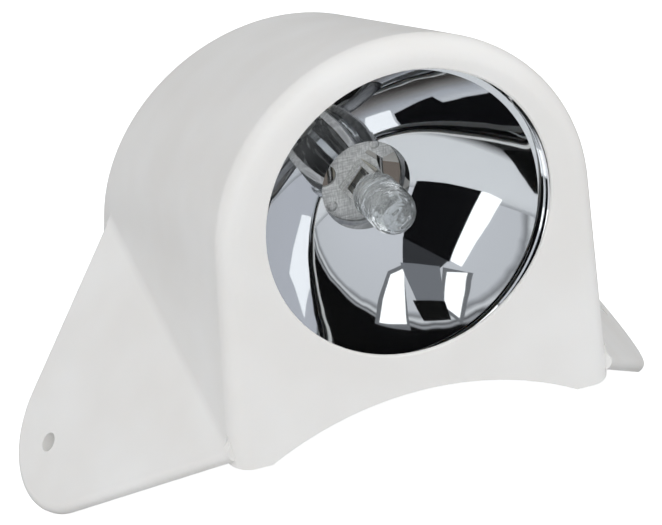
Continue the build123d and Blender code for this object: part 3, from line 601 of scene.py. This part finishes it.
def capsule_inside():
    """Profile of the capsule's inner wall, from its flat end to its dome."""
    inner = [
        (WALL_END_RADIUS, CAPSULE_INNER_END),
        (CAPSULE_INNER - INNER_BREAK, CAPSULE_INNER_END),
        (CAPSULE_INNER, CAPSULE_INNER_END - INNER_BREAK),
    ]
    steps = CAPSULE_STEPS // 2
    for i in range(steps + 1):
        angle = pi / 2 * (1 - (1 - DOME_POLE) * i / steps)
        inner.append((CAPSULE_INNER * sin(angle), CAPSULE_DOME - CAPSULE_INNER * cos(angle)))
    return inner


def bulb_pinch():
    """The flat pinch below the capsule, with rounded edges."""
    bpy.ops.object.select_all(action="DESELECT")
    height = PINCH_END - CAPSULE_SHOULDER - PINCH_GAP
    bpy.ops.mesh.primitive_cube_add(
        size=1, location=(0, 0, -(CAPSULE_SHOULDER + PINCH_END) / 2 * MM),
        scale=(PINCH_WIDTH * MM, PINCH_THICKNESS * MM, height * MM),
    )
    pinch = bpy.context.object
    settle(pinch, lamp_matrix(BULB_TURN))
    bevel = pinch.modifiers.new("rounded_edges", "BEVEL")
    bevel.width = PINCH_ROUND * MM
    bevel.segments = PINCH_ROUND_SEGMENTS
    bpy.ops.object.modifier_apply(modifier=bevel.name)
    return pinch


class OBJECT_OT_capsule(bpy.types.Operator):
    """Quartz capsule with rings at its tip, ribs at its shoulder and a flat pinch"""

    bl_idname = "deck_light.capsule"
    bl_label = "Bulb Capsule"

    def execute(self, context):
        outline = capsule_outside(context.scene.lamp_sizes)
        shell = turned("capsule_outside", outline, CAPSULE_SEGMENTS, lamp_matrix(), closed=False)
        hollow = turned("capsule_inside", capsule_inside(), CAPSULE_SEGMENTS, lamp_matrix(), closed=False)
        bpy.ops.object.mode_set(mode="EDIT")
        bpy.ops.mesh.select_all(action="SELECT")
        bpy.ops.mesh.flip_normals()
        bpy.ops.object.mode_set(mode="OBJECT")
        pinch = bulb_pinch()
        give(pinch, quartz_glass("quartz_glass_pinched", clearness=0.92, wave=0.1))
        drawn = quartz_glass("quartz_glass_drawn", clearness=0.88, wave=1.0)
        give(shell, drawn)
        give(hollow, drawn)
        piece = join([hollow, pinch, shell], "bulb_capsule")
        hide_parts("bulb_glass")
        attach(piece, "light")
        return {"FINISHED"}


# Coil and its two supports, in millimetres
COIL_LENGTH = 4.6
COIL_RADIUS = 0.5
COIL_WIRE = 0.13
WIRE_SIDES = 8
STEPS_PER_TURN = 14
SUPPORT_RADIUS = 0.2
SUPPORT_SIDES = 12
SUPPORT_INSET = 0.22
SUPPORT_END = 19.7


def coil_support(side):
    """Straight wire that holds one end of the coil."""
    bpy.ops.object.select_all(action="DESELECT")
    bpy.ops.mesh.primitive_cylinder_add(
        vertices=SUPPORT_SIDES, radius=SUPPORT_RADIUS * MM, depth=(SUPPORT_END - FILAMENT_DEPTH) * MM,
        location=(side * (COIL_LENGTH / 2 - SUPPORT_INSET) * MM, 0, -(SUPPORT_END + FILAMENT_DEPTH) / 2 * MM),
    )
    support = bpy.context.object
    settle(support, lamp_matrix(BULB_TURN))
    return support


class OBJECT_OT_coil(bpy.types.Operator):
    """Tungsten coil across the capsule, on two supports"""

    bl_idname = "deck_light.coil"
    bl_label = "Bulb Coil"

    def execute(self, context):
        turns = context.scene.lamp_sizes.coil_turns
        bpy.ops.object.select_all(action="DESELECT")
        wire_place = (COIL_RADIUS * MM, 0, 0)
        bpy.ops.mesh.primitive_circle_add(vertices=WIRE_SIDES, radius=COIL_WIRE * MM, location=wire_place)
        coil = context.object
        bpy.ops.transform.rotate(value=pi / 2, orient_axis="X", center_override=wire_place)
        bpy.ops.object.transform_apply(location=True, rotation=True, scale=True)
        winding = coil.modifiers.new("winding", "SCREW")
        winding.angle = 2 * pi * turns
        winding.steps = STEPS_PER_TURN * turns
        winding.render_steps = STEPS_PER_TURN * turns
        winding.screw_offset = (COIL_LENGTH - 4 * COIL_WIRE) * MM
        bpy.ops.object.modifier_apply(modifier=winding.name)
        middle = Matrix.Translation((0, 0, -FILAMENT_DEPTH * MM))
        lay = Matrix.Rotation(pi / 2, 4, "Y")
        start = Matrix.Translation((0, 0, -(COIL_LENGTH / 2 - 2 * COIL_WIRE) * MM))
        settle(coil, lamp_matrix(BULB_TURN) @ middle @ lay @ start)
        supports = [coil_support(side) for side in (-1, 1)]
        piece = join(supports + [coil], "bulb_coil")
        bpy.ops.object.shade_smooth_by_angle(angle=COIL_ANGLE)
        # Drawn tungsten: dark grey with a dull shine
        tungsten = plain_metal("drawn_tungsten", "6A6A6E", "8E8E92", roughness=0.35, grain=0.4, bump=0.1)
        give(piece, tungsten)
        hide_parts("bulb_filament")
        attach(piece, "light")
        return {"FINISHED"}


# Window of the cage, in millimetres: its middle's depth, and its reach through both plates
WINDOW_DEPTH = 23.2
WINDOW_REACH = 8.0


class OBJECT_OT_cage(bpy.types.Operator):
    """Bulb cap with its two plates, with a window cut through both"""

    bl_idname = "deck_light.cage"
    bl_label = "Bulb Cage"

    def execute(self, context):
        sizes = context.scene.lamp_sizes
        piece = merged_copy("bulb_base", "bulb_cage")
        bpy.ops.object.select_all(action="DESELECT")
        bpy.ops.mesh.primitive_cube_add(
            size=1, location=(0, 0, -WINDOW_DEPTH * MM),
            scale=(sizes.window_width, WINDOW_REACH * MM, sizes.window_height),
        )
        cutter = context.object
        settle(cutter, lamp_matrix(BULB_TURN))
        select_only(piece)
        window = piece.modifiers.new("window", "BOOLEAN")
        window.operation = "DIFFERENCE"
        window.solver = "EXACT"
        window.object = cutter
        bpy.ops.object.modifier_apply(modifier=window.name)
        select_only(cutter)
        bpy.ops.object.delete()
        give(piece, scratched_cap(context.scene.lamp_colours))
        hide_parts("bulb_base")
        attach(piece, "light")
        return {"FINISHED"}


class OBJECT_OT_finishes(bpy.types.Operator):
    """Finishes of the pieces that keep their CAD shape"""

    bl_idname = "deck_light.finishes"
    bl_label = "Finishes"

    def execute(self, context):
        # Zinc plate: bright grey, a little clouded
        steel = plain_metal("zinc_plated_steel", "8F9092", "B9BABB", roughness=0.35, grain=1.2, bump=0.1)
        # Drawn spring wire: darker, with a cleaner shine
        spring = plain_metal("bright_spring_wire", "8A8A8A", "A8A8A8", roughness=0.25, grain=1.0, bump=0.05)
        # Tinned brass: pale yellow, dulled by its tin
        brass = plain_metal("tinned_brass", "A89B6B", "C9BE93", roughness=0.32, grain=1.0, bump=0.08)
        # Moulded rubber: nearly black and without shine
        rubber = plain_plastic("black_rubber", "0C0C0C", "1B1B1B", roughness=0.7, grain=0.8, bump=0.2)
        # Moulded plastic: a deep black with a soft shine
        black = plain_plastic(
            "black_moulded_plastic", "101010", "1C1C1C", roughness=0.5, grain=0.6, bump=0.15
        )
        # Fired steatite: cream and chalky
        ceramic = plain_plastic(
            "steatite_ceramic", "D9D3C4", "E6E1D5", roughness=0.6, grain=1.0, bump=0.15
        )
        # Extruded insulation: a waxy shine over one even colour
        red = plain_plastic("red_lead_insulation", "7A1410", "97201A", roughness=0.4, grain=2.0, bump=0.05)
        dark = plain_plastic(
            "black_lead_insulation", "0E0E0E", "181818", roughness=0.4, grain=2.0, bump=0.05
        )
        # Dipped vinyl: pale grey and smooth
        vinyl = plain_plastic("grey_vinyl_boot", "A8A79F", "BDBCB5", roughness=0.35, grain=2.0, bump=0.05)
        # Moulded nylon: a milky cream
        nylon = plain_plastic("natural_nylon", "DCD8C8", "E8E5D8", roughness=0.45, grain=1.5, bump=0.1)
        for names, material in (
            (("ring_screws", "seat_plate", "clamp_screws", "block_screw"), steel),
            (("bulb_clip",), spring),
            (("splice_barrel", "plate_rivets", "earth_tab", "block_tubes"), brass),
            (("bulb_foils",), folded_foil()),
            (("lens_seal", "cable_grommet"), rubber),
            (("retaining_ring",), black),
            (("bulb_bushing",), ceramic),
            (("feed_lead",), red),
            (("bulb_lead", "earth_lead"), dark),
            (("splice_boot", "earth_sleeve"), vinyl),
            (("terminal_block",), nylon),
        ):
            for name in names:
                give(NODES[name], material)
        return {"FINISHED"}


# Tent that the bowl mirrors. Its stops run along the cosine of the angle off its middle.
SKY_TONE = "F4F6FA"
TENT_MIDDLE = (-3.0, -5.5)
TENT_STOPS = (
    (0.28, "0B0B0C"),
    (0.297, "101010"),
    (0.310, "B4B5B8"),
    (0.322, "4A4A4C"),
    (0.338, "E9EAEC"),
    (0.36, "8E8F92"),
    (0.39, "D5D6DA"),
    (0.80, "DCDDE2"),
)
FOLD_SCALE = 5.0
FOLD_DEPTH = 0.03

# Floor, in metres
FLOOR_SIZE = 8
FLOOR_CELLS = 8
FLOOR_GAP = 0.0005
FLOOR_TONE = "E6E6E6"
FLOOR_LIFT = 0.75
# Painted shadow, seen only where the bowl mirrors twice: a brown gradient round the lamp's front, darkest at
# its middle.
PAINTED_SHADOW_MIDDLE = (-0.03, -0.05, 0.0)
PAINTED_SHADOW_STOPS = ((0.04, "3E3833"), (0.09, "8A8581"), (0.18, "C4C5C8"), (0.4, "E6E6E6"))
# Painted shade, seen only where the bowl mirrors once: the floor from this band back under the housing is
# near black.
PAINTED_SHADE_FRONT = -0.05
PAINTED_SHADE_BACK = -0.035
PAINTED_SHADE_TONE = "0E0E0E"
# Painted shade: the floor seen through the lens glows this dark brown, in place of the shaded inside of the
# housing.
PAINTED_SHADE_BEHIND_LENS = "6A635E"

# A ray's count of bounces is above this once it is mirrored twice, and its count of clear
# surfaces is above the other once it is past the lens.
ONE_BOUNCE = 1.5
NO_LENS = 0.5

# Lamps and cards, in metres. Directions are degrees right and up, seen along the beam.
AIM = Vector((0, 0.04, 0.02))
GLINT_RADIUS = 0.004
CARD_DISTANCE = 0.75
FRAME_DISTANCE = 0.78
FOOT_DISTANCE = 0.2
BOX_GLOW = 1.6
TWICE_GLOW = 1.5
CLIP_START = 0.01

# In millimetres: the glint from the lamp's centre, right, up and out, and the camera's sensor
GLINT_PLACE = (-14.0, 16.0, -9.0)
SENSOR_WIDTH = 36.0


def beam_direction(right, up):
    """Direction out of the lamp, right and up of its beam, in degrees."""
    a, b = radians(right), radians(up)
    return LAMP_RIGHT * (sin(a) * cos(b)) + LAMP_UP * sin(b) + LAMP_OUT * (cos(a) * cos(b))


class StudioSizes(bpy.types.PropertyGroup):
    """Levels of the studio that a user would change."""

    key_power: bpy.props.FloatProperty(
        name="Key Power", description="Power of the large softbox in watts", default=5.2, min=0.0
    )
    sky_level: bpy.props.FloatProperty(
        name="Sky Level", description="Even light from all round", default=0.68, min=0.0
    )
    glint_power: bpy.props.FloatProperty(
        name="Glint Power", description="Power of the light inside the bowl in watts", default=0.012, min=0.0
    )
    camera_place: bpy.props.FloatVectorProperty(
        name="Camera Place", description="Where the camera stands", subtype="TRANSLATION",
        unit="LENGTH", default=(-0.27975, -0.64997, 0.57321)
    )
    camera_right: bpy.props.FloatVectorProperty(
        name="Camera Right", description="Direction to the right of the picture",
        default=(0.9315, -0.3637, 0.0032)
    )
    camera_down: bpy.props.FloatVectorProperty(
        name="Camera Down", description="Direction down the picture",
        default=(-0.2171, -0.5630, -0.7975)
    )
    camera_lens: bpy.props.FloatProperty(
        name="Camera Lens", description="Focal length in millimetres on a 36 mm sensor", default=206.65
    )


def studio_sky(studio):
    """Even sky for the light, and for what is mirrored a white tent with hoops at its mouth."""
    world = bpy.data.worlds.new("studio_sky")
    bpy.context.scene.world = world
    world.use_nodes = True
    tree = world.node_tree
    tree.nodes.clear()
    path = add_node(tree, "ShaderNodeLightPath")
    ray = add_node(tree, "ShaderNodeTexCoord")
    across = add_node(
        tree, "ShaderNodeVectorMath",
        {0: ray.outputs["Generated"], 1: tuple(beam_direction(*TENT_MIDDLE))}, operation="DOT_PRODUCT",
    )
    # The cloth hangs in folds, so the hoops waver a little.
    folds = add_node(
        tree, "ShaderNodeTexNoise",
        {"Vector": ray.outputs["Generated"], "Scale": FOLD_SCALE, "Detail": 2.0},
    )
    folded = add_node(
        tree, "ShaderNodeMath",
        {0: folds.outputs["Fac"], 1: FOLD_DEPTH, 2: across.outputs["Value"]}, operation="MULTIPLY_ADD",
    )
    level_off = add_node(
        tree, "ShaderNodeMath", {0: folded.outputs["Value"], 1: FOLD_DEPTH / 2}, operation="SUBTRACT"
    )
    tent = add_node(tree, "ShaderNodeValToRGB", {"Fac": level_off.outputs["Value"]}, stops=TENT_STOPS)
    bounced = add_node(
        tree, "ShaderNodeMath",
        {0: path.outputs["Is Glossy Ray"], 1: path.outputs["Is Transmission Ray"]}, operation="MAXIMUM",
    )
    mirrored = add_node(
        tree, "ShaderNodeMix",
        {"Factor": bounced.outputs["Value"], 6: linear(SKY_TONE), 7: tent.outputs["Color"]},
        data_type="RGBA",
    )
    sees = add_node(
        tree, "ShaderNodeMath",
        {0: path.outputs["Is Camera Ray"], 1: bounced.outputs["Value"]}, operation="MAXIMUM",
    )
    level = add_node(
        tree, "ShaderNodeMapRange",
        {"Value": sees.outputs["Value"], "To Min": studio.sky_level, "To Max": 1.0},
    )
    sky = add_node(
        tree, "ShaderNodeBackground", {"Color": mirrored.outputs[2], "Strength": level.outputs["Result"]}
    )
    add_node(tree, "ShaderNodeOutputWorld", {"Surface": sky.outputs["Background"]})


def floor_in_bowl_with_painted_shade(tree, path):
    """Colour of the floor in the bowl, with painted shade: near black under the housing's foot, and a brown
    painted shadow round the lamp's front where it is mirrored twice.
    """
    spot = add_node(tree, "ShaderNodeTexCoord")
    away = add_node(
        tree, "ShaderNodeVectorMath", {0: spot.outputs["Object"], 1: PAINTED_SHADOW_MIDDLE}, operation="DISTANCE"
    )
    painted_shadow = add_node(tree, "ShaderNodeValToRGB", {"Fac": away.outputs["Value"]}, stops=PAINTED_SHADOW_STOPS)
    along = add_node(tree, "ShaderNodeSeparateXYZ", {"Vector": spot.outputs["Object"]})
    painted_shade_band = add_node(
        tree, "ShaderNodeMapRange",
        {"Value": along.outputs["Y"], "From Min": PAINTED_SHADE_FRONT, "From Max": PAINTED_SHADE_BACK},
    )
    once = add_node(
        tree, "ShaderNodeMix",
        {"Factor": painted_shade_band.outputs["Result"], 6: linear(FLOOR_TONE), 7: linear(PAINTED_SHADE_TONE)}, data_type="RGBA",
    )
    second = add_node(
        tree, "ShaderNodeMath", {0: path.outputs["Ray Depth"], 1: ONE_BOUNCE}, operation="GREATER_THAN"
    )
    mirrored = add_node(
        tree, "ShaderNodeMix",
        {"Factor": second.outputs["Value"], 6: once.outputs[2], 7: painted_shadow.outputs["Color"]},
        data_type="RGBA",
    )
    return mirrored.outputs[2]


def floor_paint():
    """Pale matt paint: white past the object, with painted shadow in the bowl and painted shade behind the
    lens.
    """
    material = bpy.data.materials.new("pale_floor_paint_with_painted_shade")
    material.use_nodes = True
    tree = material.node_tree
    tree.nodes.clear()
    path = add_node(tree, "ShaderNodeLightPath")
    seen = add_node(
        tree, "ShaderNodeMix",
        {"Factor": path.outputs["Is Glossy Ray"], 6: linear(FLOOR_TONE), 7: floor_in_bowl_with_painted_shade(tree, path)},
        data_type="RGBA",
    )
    paint = add_node(tree, "ShaderNodeBsdfPrincipled", {"Base Color": seen.outputs[2], "Roughness": 0.9})
    glow = add_node(tree, "ShaderNodeEmission", {"Color": linear("FFFFFF"), "Strength": FLOOR_LIFT})
    lit = add_node(tree, "ShaderNodeAddShader", {0: paint.outputs["BSDF"], 1: glow.outputs["Emission"]})
    # Only what the camera sees past the lamp is lifted to white, not the floor behind its lens.
    straight = add_node(
        tree, "ShaderNodeMath", {0: path.outputs["Transparent Depth"], 1: NO_LENS}, operation="LESS_THAN"
    )
    lifted = add_node(
        tree, "ShaderNodeMath",
        {0: path.outputs["Is Camera Ray"], 1: straight.outputs["Value"]}, operation="MULTIPLY",
    )
    open_floor = add_node(
        tree, "ShaderNodeMixShader",
        {"Fac": lifted.outputs["Value"], 1: paint.outputs["BSDF"], 2: lit.outputs["Shader"]},
    )
    # Painted shade: through the lens the camera meets this dark brown glow, which stands in for the shade
    # inside the housing.
    behind = add_node(
        tree, "ShaderNodeMath", {0: path.outputs["Transparent Depth"], 1: NO_LENS}, operation="GREATER_THAN"
    )
    painted_shade_mask = add_node(
        tree, "ShaderNodeMath",
        {0: behind.outputs["Value"], 1: path.outputs["Is Camera Ray"]}, operation="MULTIPLY",
    )
    dark = add_node(tree, "ShaderNodeEmission", {"Color": linear(PAINTED_SHADE_BEHIND_LENS), "Strength": 1.0})
    with_painted_shade = add_node(
        tree, "ShaderNodeMixShader",
        {"Fac": painted_shade_mask.outputs["Value"], 1: open_floor.outputs["Shader"], 2: dark.outputs["Emission"]},
    )
    add_node(tree, "ShaderNodeOutputMaterial", {"Surface": with_painted_shade.outputs["Shader"]})
    return material


def studio_floor():
    """Pale floor a little below the object."""
    bpy.ops.object.select_all(action="DESELECT")
    low = CAD_BOX[0][2]
    bpy.ops.mesh.primitive_grid_add(
        x_subdivisions=FLOOR_CELLS, y_subdivisions=FLOOR_CELLS, size=FLOOR_SIZE,
        location=(0, 0, low - FLOOR_GAP),
    )
    floor = bpy.context.object
    floor.name = "floor"
    give(floor, floor_paint())


def softboxes(studio):
    """Large soft lamps round the object, which no surface mirrors."""
    for name, place, size, share in (
        ("key_softbox", (-0.85, -0.7, 1.15), 1.2, 1.0),
        ("fill_softbox", (1.0, -1.0, 0.85), 1.2, 0.4),
        ("top_softbox", (-0.6, -0.1, 1.4), 1.0, 0.8),
        ("right_softbox", (1.1, 0.15, 0.85), 0.9, 0.85),
    ):
        bpy.ops.object.light_add(type="AREA", location=place)
        lamp = bpy.context.object
        lamp.name = name
        lamp.data.size = size
        lamp.data.energy = studio.key_power * share
        lamp.rotation_euler = (Vector(place) - AIM).to_track_quat("Z", "Y").to_euler()
        lamp.visible_glossy = False
        lamp.visible_transmission = False


def bowl_glint(studio):
    """Light that the bowl throws back on the bulb's cage."""
    right, up, out = GLINT_PLACE
    offset = (LAMP_RIGHT * right + LAMP_UP * up + LAMP_OUT * out) * MM
    bpy.ops.object.light_add(type="POINT", location=LAMP_CENTRE + offset)
    glint = bpy.context.object
    glint.name = "bowl_glint"
    glint.data.energy = studio.glint_power
    glint.data.shadow_soft_size = GLINT_RADIUS
    glint.visible_camera = False
    glint.visible_glossy = False
    glint.visible_transmission = False


def card(name, corners, colour, strength, distance=CARD_DISTANCE, twice=False):
    """A flat studio card seen in the bowl, from its corners as (right, up) degrees.

    A card marked twice shows only where the bowl mirrors itself.
    """
    bpy.ops.object.select_all(action="DESELECT")
    bpy.ops.mesh.primitive_plane_add(size=1)
    piece = bpy.context.object
    piece.name = name
    places = [LAMP_CENTRE + beam_direction(*corner) * distance for corner in corners]
    for vertex, place in zip((0, 1, 3, 2), places):
        piece.data.vertices[vertex].co = place
    material = bpy.data.materials.new(name)
    material.use_nodes = True
    tree = material.node_tree
    tree.nodes.clear()
    glow = add_node(tree, "ShaderNodeEmission", {"Color": linear(colour), "Strength": strength})
    shown = glow.outputs["Emission"]
    if twice:
        path = add_node(tree, "ShaderNodeLightPath")
        second = add_node(
            tree, "ShaderNodeMath", {0: path.outputs["Ray Depth"], 1: ONE_BOUNCE}, operation="GREATER_THAN"
        )
        clear = add_node(tree, "ShaderNodeBsdfTransparent")
        either = add_node(
            tree, "ShaderNodeMixShader",
            {"Fac": second.outputs["Value"], 1: clear.outputs["BSDF"], 2: glow.outputs["Emission"]},
        )
        shown = either.outputs["Shader"]
    add_node(tree, "ShaderNodeOutputMaterial", {"Surface": shown})
    give(piece, material)
    piece.visible_camera = False
    piece.visible_diffuse = False
    piece.visible_shadow = False


def bowl_cards():
    """Black screens and white boxes round the camera, as the bowl mirrors them."""
    black_foot = [(-28, -16), (-27, -33), (-10, -30), (-8, 20)]
    white_foot = [(-9, -34), (3, -36), (3, -14), (-9, -12)]
    white_middle = [(7, 6), (22, 4), (23, 22), (7, 30)]
    left_frame = [(-50, 37), (-32, 40), (-22, 59), (-35, 62)]
    right_frame = [(-1, 41), (17, 42), (56, 50), (28, 64)]
    card("black_screen", [(-60, -16), (-26, -19), (-8, 26), (-37, 36)], "0E0E10", 1.0)
    card("black_foot", black_foot, "0E0E10", 1.0, distance=FOOT_DISTANCE, twice=True)
    card("white_foot", white_foot, "FFFFFF", TWICE_GLOW, distance=FOOT_DISTANCE, twice=True)
    card("white_middle", white_middle, "FFFFFF", TWICE_GLOW, distance=0.74, twice=True)
    card("white_strip", [(-66, -11), (-58, -16), (-38, 35), (-44, 36)], "FFFFFF", BOX_GLOW)
    card("grey_card", [(-30, 40), (2, 40), (2, 58), (-27, 56)], "7E8085", 1.0)
    card("grey_gap", [(-37, 35), (-8, 25), (0, 41), (-30, 41)], "3A3B3E", 1.0, distance=0.77)
    card("white_box_left_frame", left_frame, "7C7D80", 1.0, distance=FRAME_DISTANCE)
    card("white_box_right_frame", right_frame, "7C7D80", 1.0, distance=FRAME_DISTANCE)
    card("white_box_left", [(-47, 38), (-34, 42), (-24, 58), (-34, 60)], "FFFFFF", BOX_GLOW)
    card("white_box_right", [(0, 43), (16, 44), (52, 52), (28, 62)], "FFFFFF", BOX_GLOW)
    card("black_top", [(-26, 56), (6, 57), (6, 64), (-26, 62)], "101010", 1.0, distance=0.7)
    card("black_side", [(71, 6), (80, -2), (86, 40), (64, 54)], "0C0C0C", 1.0)
    card("black_left", [(-95, -48), (-75, -48), (-75, -22), (-95, -22)], "0C0C0C", 1.0, distance=0.14)


def picture_camera(studio):
    """Long lens from the front left and above, as the picture was taken."""
    bpy.ops.object.camera_add(location=studio.camera_place)
    camera = bpy.context.object
    camera.name = "camera"
    right = Vector(studio.camera_right).normalized()
    down = Vector(studio.camera_down)
    down = (down - right * down.dot(right)).normalized()
    back = right.cross(-down)
    camera.rotation_euler = Matrix((right, -down, back)).transposed().to_euler()
    camera.data.lens = studio.camera_lens
    camera.data.sensor_width = SENSOR_WIDTH
    camera.data.clip_start = CLIP_START
    bpy.context.scene.camera = camera


class OBJECT_OT_studio(bpy.types.Operator):
    """Floor, sky, softboxes, cards and camera"""

    bl_idname = "deck_light.studio"
    bl_label = "Studio"

    def execute(self, context):
        studio = context.scene.studio_sizes
        context.scene.view_settings.view_transform = "Standard"
        studio_sky(studio)
        studio_floor()
        softboxes(studio)
        bowl_glint(studio)
        bowl_cards()
        picture_camera(studio)
        return {"FINISHED"}


class VIEW3D_PT_deck_light(bpy.types.Panel):
    """Lists the steps that dress the deck light"""

    bl_label = "Deck Light"
    bl_idname = "VIEW3D_PT_deck_light"
    bl_space_type = "VIEW_3D"
    bl_region_type = "UI"
    bl_category = "Deck Light"

    def draw(self, context):
        layout = self.layout
        scene = context.scene
        for group in (scene.lamp_sizes, scene.lamp_colours, scene.studio_sizes):
            for name in group.__annotations__:
                layout.prop(group, name)
        for step in STEPS:
            layout.operator(step.bl_idname)


STEPS = (
    OBJECT_OT_housing,
    OBJECT_OT_reflector,
    OBJECT_OT_lens,
    OBJECT_OT_capsule,
    OBJECT_OT_coil,
    OBJECT_OT_cage,
    OBJECT_OT_finishes,
    OBJECT_OT_studio,
)
CLASSES = (LampSizes, LampColours, StudioSizes, VIEW3D_PT_deck_light) + STEPS


def register():
    for cls in CLASSES:
        bpy.utils.register_class(cls)
    bpy.types.Scene.lamp_sizes = bpy.props.PointerProperty(type=LampSizes)
    bpy.types.Scene.lamp_colours = bpy.props.PointerProperty(type=LampColours)
    bpy.types.Scene.studio_sizes = bpy.props.PointerProperty(type=StudioSizes)


def unregister():
    del bpy.types.Scene.studio_sizes
    del bpy.types.Scene.lamp_colours
    del bpy.types.Scene.lamp_sizes
    for cls in reversed(CLASSES):
        bpy.utils.unregister_class(cls)


def main():
    """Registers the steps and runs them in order."""
    register()
    bpy.ops.deck_light.housing()
    bpy.ops.deck_light.reflector()
    bpy.ops.deck_light.lens()
    bpy.ops.deck_light.capsule()
    bpy.ops.deck_light.coil()
    bpy.ops.deck_light.cage()
    bpy.ops.deck_light.finishes()
    bpy.ops.deck_light.studio()


if __name__ == "__main__":
    main()
